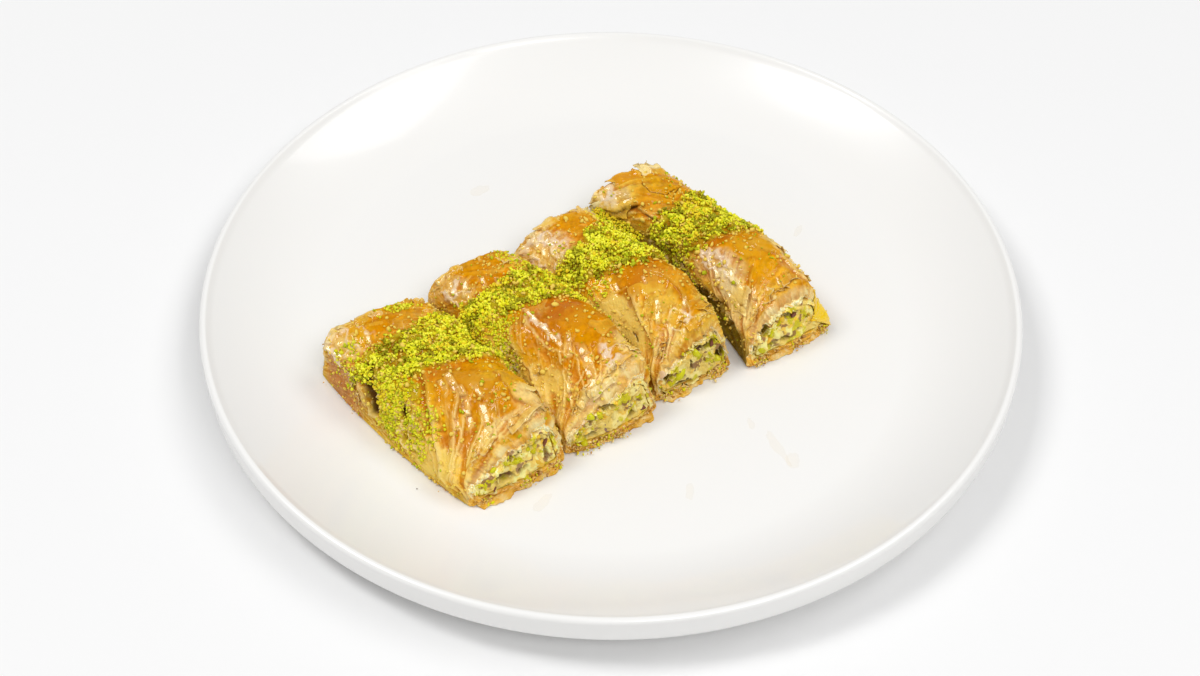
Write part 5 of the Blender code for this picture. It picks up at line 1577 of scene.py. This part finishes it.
def hung_sheet(roll, skin, first, last, reach, crinkled, colour, free_colour):
    """A sheet that comes over the front edge and hangs down the face. Its places on the face go from the
    skin's edge towards the tunnel's, its crinkles run down, and its free edge is ragged. Gives points,
    normals and colours."""
    columns = np.arange(int(first * SKIN_COLUMNS), int(last * SKIN_COLUMNS))[::-1]
    tunnel = tunnel_grid(roll, TUNNEL_ROWS)
    outer, inner = skin[0, columns], tunnel[0, columns]
    over = skin[HUNG_OVER:0:-1, columns] + 0.00035 * outward(skin)[HUNG_OVER:0:-1, columns]
    seed = roll["seed"] * 100 + int(first * 100)
    side = np.linspace(0, 1, len(columns))
    ends = step_up(side / 0.12) * step_up((1 - side) / 0.12)
    edge = outer * (1, 0, 1)
    ragged = 0.70 + 0.22 * cloud(edge, 0.0030, seed, 3) + 0.16 * cloud(edge, 0.0011, seed + 4, 2)
    part = np.linspace(0, 1, HUNG_ROWS)[:, None] * (reach * ragged * (0.35 + 0.65 * ends))[None, :]
    face = outer[None] * (1 - part[..., None]) + inner[None] * part[..., None]
    share = np.linspace(0, 1, HUNG_ROWS)[:, None]
    around = np.cumsum(np.linalg.norm(outer - np.roll(outer, 1, axis=0), axis=-1))[None, :] * (side > 0)
    fallen = np.linalg.norm(face - outer[None], axis=-1)
    crinkle = draped(around + 0 * fallen, -fallen, seed + 1) * crinkled
    face[..., 1] -= 0.0005 + 0.0009 * np.sin(np.pi * np.minimum(share * 0.8 + 0.1, 1)) + 0.00055 * crinkle
    points = np.concatenate([over, face])
    normal = np.cross(np.gradient(points, axis=1), np.gradient(points, axis=0))
    normal /= np.maximum(np.linalg.norm(normal, axis=-1, keepdims=True), 1e-12)
    share = np.concatenate([np.zeros((HUNG_OVER, 1)), share]) + 0 * points[..., 0]
    crinkle = np.concatenate([np.repeat(crinkle[:1], HUNG_OVER, axis=0), crinkle])
    browned = step_up(cloud(points, 0.0030, seed + 2, 2) - 0.1) * (0.2 + 0.4 * crinkled)
    tint = mixed(colour + 0 * points, AMBER, browned)
    tint = mixed(tint, CREAM, step_up(cloud(points, 0.0014, seed + 3, 3) * 1.5 - 0.3) * 0.45 * crinkled)
    # Painted shade in the crinkles' hollows and painted highlight on their crests
    tint = mixed(tint, DEEP_AMBER, step_up((-crinkle - 0.05) / 0.35) * 0.7)
    tint = mixed(tint, GLASS_CREAM, step_up((crinkle - 0.1) / 0.35) * 0.7)
    tint = mixed(tint, free_colour, step_up((share - 0.75) / 0.25) * 0.5)
    return points.reshape(-1, 3), normal.reshape(-1, 3), tint.reshape(-1, 3), len(columns)


def flake_points(skin, tint, roll, place, half, turn, lift, seed):
    """A square grid laid on the skin: its outline is warped by clouds, its height rises from below the skin
    at the root edge to the lift at the free edge, and soft waves run across it."""
    side = np.linspace(-1, 1, FLAKE_GRID)
    p, q = np.meshgrid(side, side, indexing="ij")
    rough = cloud(np.stack([p, q, 0 * p + seed], axis=-1), 0.8, seed, 3)
    rough_2 = cloud(np.stack([p, q, 0 * p - seed], axis=-1), 0.8, seed + 3, 3)
    outer = np.maximum(np.abs(p), np.abs(q)) ** 2
    a = (p + 0.30 * rough * outer) * half[0]
    b = (q + 0.30 * rough_2 * outer) * half[1]
    c, s = math.cos(math.radians(turn)), math.sin(math.radians(turn))
    rows_per_metre = (SKIN_ROWS - 1) / (roll["back"] - roll["front"])
    column = (place[0] + (a * c + b * s) / SKIN_LENGTH) * (SKIN_COLUMNS - 1)
    row = (place[1] - roll["front"] + a * s - b * c) * rows_per_metre
    column = np.clip(column.ravel(), 1, SKIN_COLUMNS - 2)
    row = np.clip(row.ravel(), 0.5, SKIN_ROWS - 1.5)
    base, normal = on_skin(skin, column, row)
    below = tint[row.astype(int), column.astype(int)]
    free = (q.ravel() + 1) / 2
    height = -0.0004 + (lift + 0.0004) * free ** 1.4 + 0.00022 * rough.ravel()
    height = height + 0.0003 * free * np.sin(4 * p.ravel() + seed)
    border = 1 - np.minimum(1 - np.abs(p), 1 - q).ravel()
    return base + normal * height[:, None], normal, step_up((border - 0.75) / 0.25), below


def flakes_on(number, roll, skin, skin_tint, material):
    """All loose sheets of one roll in one mesh: the large ones as seen, and small scraps at random, most of
    them near the cuts and in the crumbled places."""
    rng = np.random.default_rng(roll["seed"] + 700)
    listed = list(FLAKES[number])
    for k in range(SMALL_FLAKES):
        front = rng.uniform(0, 1) < 0.6
        share = rng.uniform(0.22, 0.74)
        y = roll["front"] / MM + rng.uniform(3.5, 7.0) if front else roll["back"] / MM - rng.uniform(1.0, 4.0)
        turn = rng.uniform(-40, 40) + (0 if front else 180)
        if k % 3 == 2:
            share = rng.choice([0.16, 0.24, 0.72, 0.80])
            y = rng.uniform(-34, 24)
            turn = rng.uniform(0, 360)
        root = (STRAW, CREAM, HONEY, KHAKI)[k % 4]
        wide, deep, lift = rng.uniform(0.8, 2.0), rng.uniform(0.6, 1.5), rng.uniform(0.3, 0.9)
        listed.append((share, y, wide, deep, turn, lift, root, CREAM))
    shells = []
    tints = []
    for k, (share, y, wide, deep, turn, lift, root, free_colour) in enumerate(listed):
        place, half = (share, y * MM), (wide * MM, deep * MM)
        points, normal, border, below = flake_points(skin, skin_tint, roll, place, half, turn, lift * MM,
                                                     roll["seed"] + 31 * k)
        tint = mixed(below, root, 0.35 if lift < TALL_LIFT else 0.9)
        tint = mixed(tint, free_colour, border * 0.6)
        tint = tint * (1 + 0.08 * cloud(points, 0.0016, roll["seed"] + k, 2))[:, None]
        tints += [tint, tint * UNDER_SHADE]
        shells.append(thin_sheet(points, normal, FLAKE_THICKNESS, FLAKE_GRID, FLAKE_GRID))
    for hung in HUNG.get(number, ()):
        points, normal, tint, width = hung_sheet(roll, skin, *hung)
        tints += [tint, tint * UNDER_SHADE]
        shells.append(thin_sheet(points, normal, HUNG_THICKNESS, HUNG_OVER + HUNG_ROWS, width))
    points, faces = joined(shells)
    return mesh_piece("pastry_%d_flakes" % number, points, faces, material,
                      np.clip(np.concatenate(tints), 0, 1), gloss=np.full(len(points), 0.8))


for number, roll in ROLLS.items():
    skin, across, tint, pile = skins[number]
    flakes = flakes_on(number, roll, skin, tint, syrup_pastry)
    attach(flakes, "root")

# Crumbs and syrup on the plate
# Where a roll was cut and set down, the lowest sheet juts out as a thin ragged fringe, with crumbs of crust
# and pistachio along it, and a few thin smears of syrup lie about.
FRINGE_COLUMNS = 140
FRINGE_ROWS = 7
FRINGE_FRONT = 0.0026
FRINGE_BACK = 0.0016
FRINGE_THICKNESS = 0.0004
CRUMBS_FRONT = 240
CRUMBS_BACK = 120
CRUMBS_SIDE = 120

# Crumbs that lie alone: x, y, radius and colour
LONE_CRUMBS = ((-0.0722, -0.0450, 0.0009, GRAIN_GREEN), (-0.0730, -0.0438, 0.0006, GRAIN_OCHRE),
               (-0.0883, -0.0277, 0.00025, CRUMB_AND_SHADE_BROWN))

# Smears: x, y, half length and half width in mm, turn in degrees
SMEARS = ((0.0114, -0.0744, 7.0, 1.6, 84), (0.0122, -0.0810, 3.0, 2.2, 60), (0.0105, -0.0620, 2.0, 1.0, 70),
          (-0.0210, -0.0735, 3.2, 1.3, 50), (-0.0600, -0.0528, 4.2, 1.8, 20), (-0.0038, 0.0743, 3.4, 2.0, 0),
          (0.0748, -0.0019, 3.0, 1.2, 30))
SMEAR_STEPS = 48

# Rings of a smear: share of its size, and height over the plate
SMEAR_RINGS = ((1.0, -0.00006), (0.985, 0.00008), (0.9, 0.00014), (0.6, 0.00017), (0.3, 0.00018))


def base_edge(skin, row, part):
    """x and y at shares of the way from left to right along a cut's bottom edge: the floor's points of the
    skin's first or last row, joined by straight lines."""
    line = skin[row, SKIN_COLUMNS:][::-1]
    places = np.linspace(0, 1, len(line))
    return np.interp(part, places, line[:, 0]), np.interp(part, places, line[:, 1])


def fringe_on(number, roll, skin, material):
    """A thin ragged sheet along each cut's bottom edge: its reach is a cloud raised above zero."""
    shells = []
    tints = []
    for row, towards, widest in ((0, -1, FRINGE_FRONT), (-1, 1, FRINGE_BACK)):
        part = np.linspace(0.02, 0.98, FRINGE_COLUMNS)
        x, y = base_edge(skin, row, part)
        places = np.stack([x, y, 0 * x], axis=-1)
        ragged = 0.45 + 0.6 * cloud(places, 0.0045, roll["seed"] + 801, 4)
        reach = widest * np.clip(ragged, 0.05, 1) * step_up(part / 0.06) * step_up((1 - part) / 0.06)
        t = np.linspace(-0.5, 1, FRINGE_ROWS)[:, None]
        out = np.where(t < 0, t * 0.0012, t * reach)
        places = np.stack([x + 0 * t, y + out, 0 * t * x], axis=-1)
        wave = 0.00016 * cloud(places, 0.0020, roll["seed"] + 802, 2)
        z = WELL_HEIGHT + 0.00055 + 0.0008 * (1 - np.abs(t)) ** 2 + wave
        sheet = np.stack([x + 0 * t, y + towards * out, z], axis=-1)
        if towards > 0:
            sheet = sheet[:, ::-1]
        flat = sheet.reshape(-1, 3)
        upwards = np.array([0.0, 0.0, 1.0])
        shell, sides = thin_sheet(flat, upwards, FRINGE_THICKNESS, FRINGE_ROWS, FRINGE_COLUMNS)
        tone = cloud(flat, 0.0018, roll["seed"] + 803, 3)
        tint = mixed(CRUST_OCHRE + 0 * flat, CREAM, step_up(tone + 0.3) * 0.7)
        tint = mixed(tint, SINGED, step_up(-tone - 0.3) * 0.6)
        shells.append((shell, sides[:, ::-1]))
        tints += [tint, tint]
    points, faces = joined(shells)
    return mesh_piece("pastry_%d_fringe" % number, points, faces, material, np.concatenate(tints),
                      gloss=np.full(len(points), 0.3))


def crumbs_round(number, roll, skin, material):
    """Crumbs at the foot of a roll, most of them against it: broken bits of crust, sheet and pistachio."""
    rng = np.random.default_rng(roll["seed"] + 900)
    places = []
    sizes = []
    for row, towards, count in ((0, -1, CRUMBS_FRONT), (-1, 1, CRUMBS_BACK)):
        part = rng.uniform(0.01, 0.99, count * 4)
        thick = cloud(np.stack([part * 0.035, 0 * part, 0 * part], axis=-1), 0.005, roll["seed"] + 905, 2)
        part = part[rng.uniform(0, 1, count * 4) < step_up(0.35 + 1.2 * thick)][:count]
        count = len(part)
        x, y = base_edge(skin, row, part)
        size = rng.uniform(0.00018, 0.00050, count) * np.where(rng.uniform(0, 1, count) < 0.15, 1.6, 1.0)
        away = rng.exponential(0.0005, count)
        heap = np.where(away < 0.0009, rng.uniform(0, 0.0022, count), 0)
        places.append(np.stack([x, y + towards * away, WELL_HEIGHT + 0.0006 + heap + size * 0.5], axis=-1))
        sizes.append(size)
    outer_side = {1: (0, -1), 4: (SKIN_COLUMNS - 1, 1)}.get(number)
    if outer_side:
        column, towards = outer_side
        part = rng.uniform(0.02, 0.98, CRUMBS_SIDE) * (len(skin) - 1)
        foot = skin[part.astype(int), column]
        size = rng.uniform(0.00016, 0.00042, CRUMBS_SIDE)
        away = rng.exponential(0.0004, CRUMBS_SIDE)
        heap = rng.uniform(0, 0.0014, CRUMBS_SIDE)
        z = WELL_HEIGHT + heap + size * 0.7
        places.append(np.stack([foot[:, 0] + towards * away, foot[:, 1], z], axis=-1))
        sizes.append(size)
    alone = LONE_CRUMBS if number == 1 else ()
    for x, y, radius, _ in alone:
        places.append(np.array([[x, y, float(well_surface(math.hypot(x, y))) + radius * 0.6]]))
        sizes.append(np.array([radius]))
    places = np.concatenate(places)
    sizes = np.concatenate(sizes)
    count = len(places)
    stretch = random_stretch(rng, count, (0.9, 1.7), (0.8, 1.2), (0.4, 0.8))
    points, triangles = broken_bits(places, sizes, stretch, 3, 1, rng)
    kind = rng.uniform(0, 1, count)
    colours = mixed(CRUST_OCHRE + np.zeros((count, 3)), CREAM, rng.uniform(0, 1, count))
    colours = mixed(colours, SINGED, (kind < 0.15) * 0.7)
    colours = mixed(colours, GRAIN_GREEN, (kind > 0.72) * 0.9)
    if alone:
        colours[-len(alone):] = [crumb[3] for crumb in alone]
    colours = np.repeat(colours[:, None, :], points.shape[1], axis=1)
    return mesh_piece("pastry_%d_crumbs" % number, points, triangles, material, colours, smooth=False)


def syrup_smears(material):
    """Flat drops with wavy outlines: each a fan of rings that rises a little from its edge to its middle."""
    turn = 2 * np.pi * np.arange(SMEAR_STEPS) / SMEAR_STEPS
    circle = np.stack([np.cos(turn), np.sin(turn), 0 * turn], axis=-1)
    shells = []
    for number, (x, y, long_mm, wide_mm, degrees) in enumerate(SMEARS):
        wave = 1 + 0.28 * cloud(circle + (0, 0, number), 0.7, 77, 3)
        c, s = math.cos(math.radians(degrees)), math.sin(math.radians(degrees))
        a = long_mm * MM * np.cos(turn) * wave
        b = wide_mm * MM * np.sin(turn) * wave
        rings = []
        for share, height in SMEAR_RINGS:
            px = x + share * (a * c - b * s)
            py = y + share * (a * s + b * c)
            rings.append(np.stack([px, py, well_surface(np.hypot(px, py)) + height], axis=-1))
        plate_height = float(well_surface(np.hypot(x, y)))
        ends = [[x, y, plate_height + SMEAR_RINGS[0][1]], [x, y, plate_height + SMEAR_RINGS[-1][1]]]
        shells.append((np.concatenate(rings + [ends]), capped_faces(len(SMEAR_RINGS), SMEAR_STEPS)))
    points, faces = joined(shells)
    return mesh_piece("syrup_smears", points, faces, material)


crumb_crust = tinted("baked_crumb", 0.55, Specular_IOR_Level=0.2)[0]
thin_syrup = new_material(
    "thin_syrup", (0.95, 0.72, 0.32), 0.08, Coat_Weight=0.6, Coat_Roughness=0.04, Alpha=0.05)[0]
for number, roll in ROLLS.items():
    skin = skins[number][0]
    fringe = fringe_on(number, roll, skin, syrup_pastry)
    crumbs = crumbs_round(number, roll, skin, crumb_crust)
    for piece in (fringe, crumbs):
        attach(piece, "root")
smears = syrup_smears(thin_syrup)
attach(smears, "root")
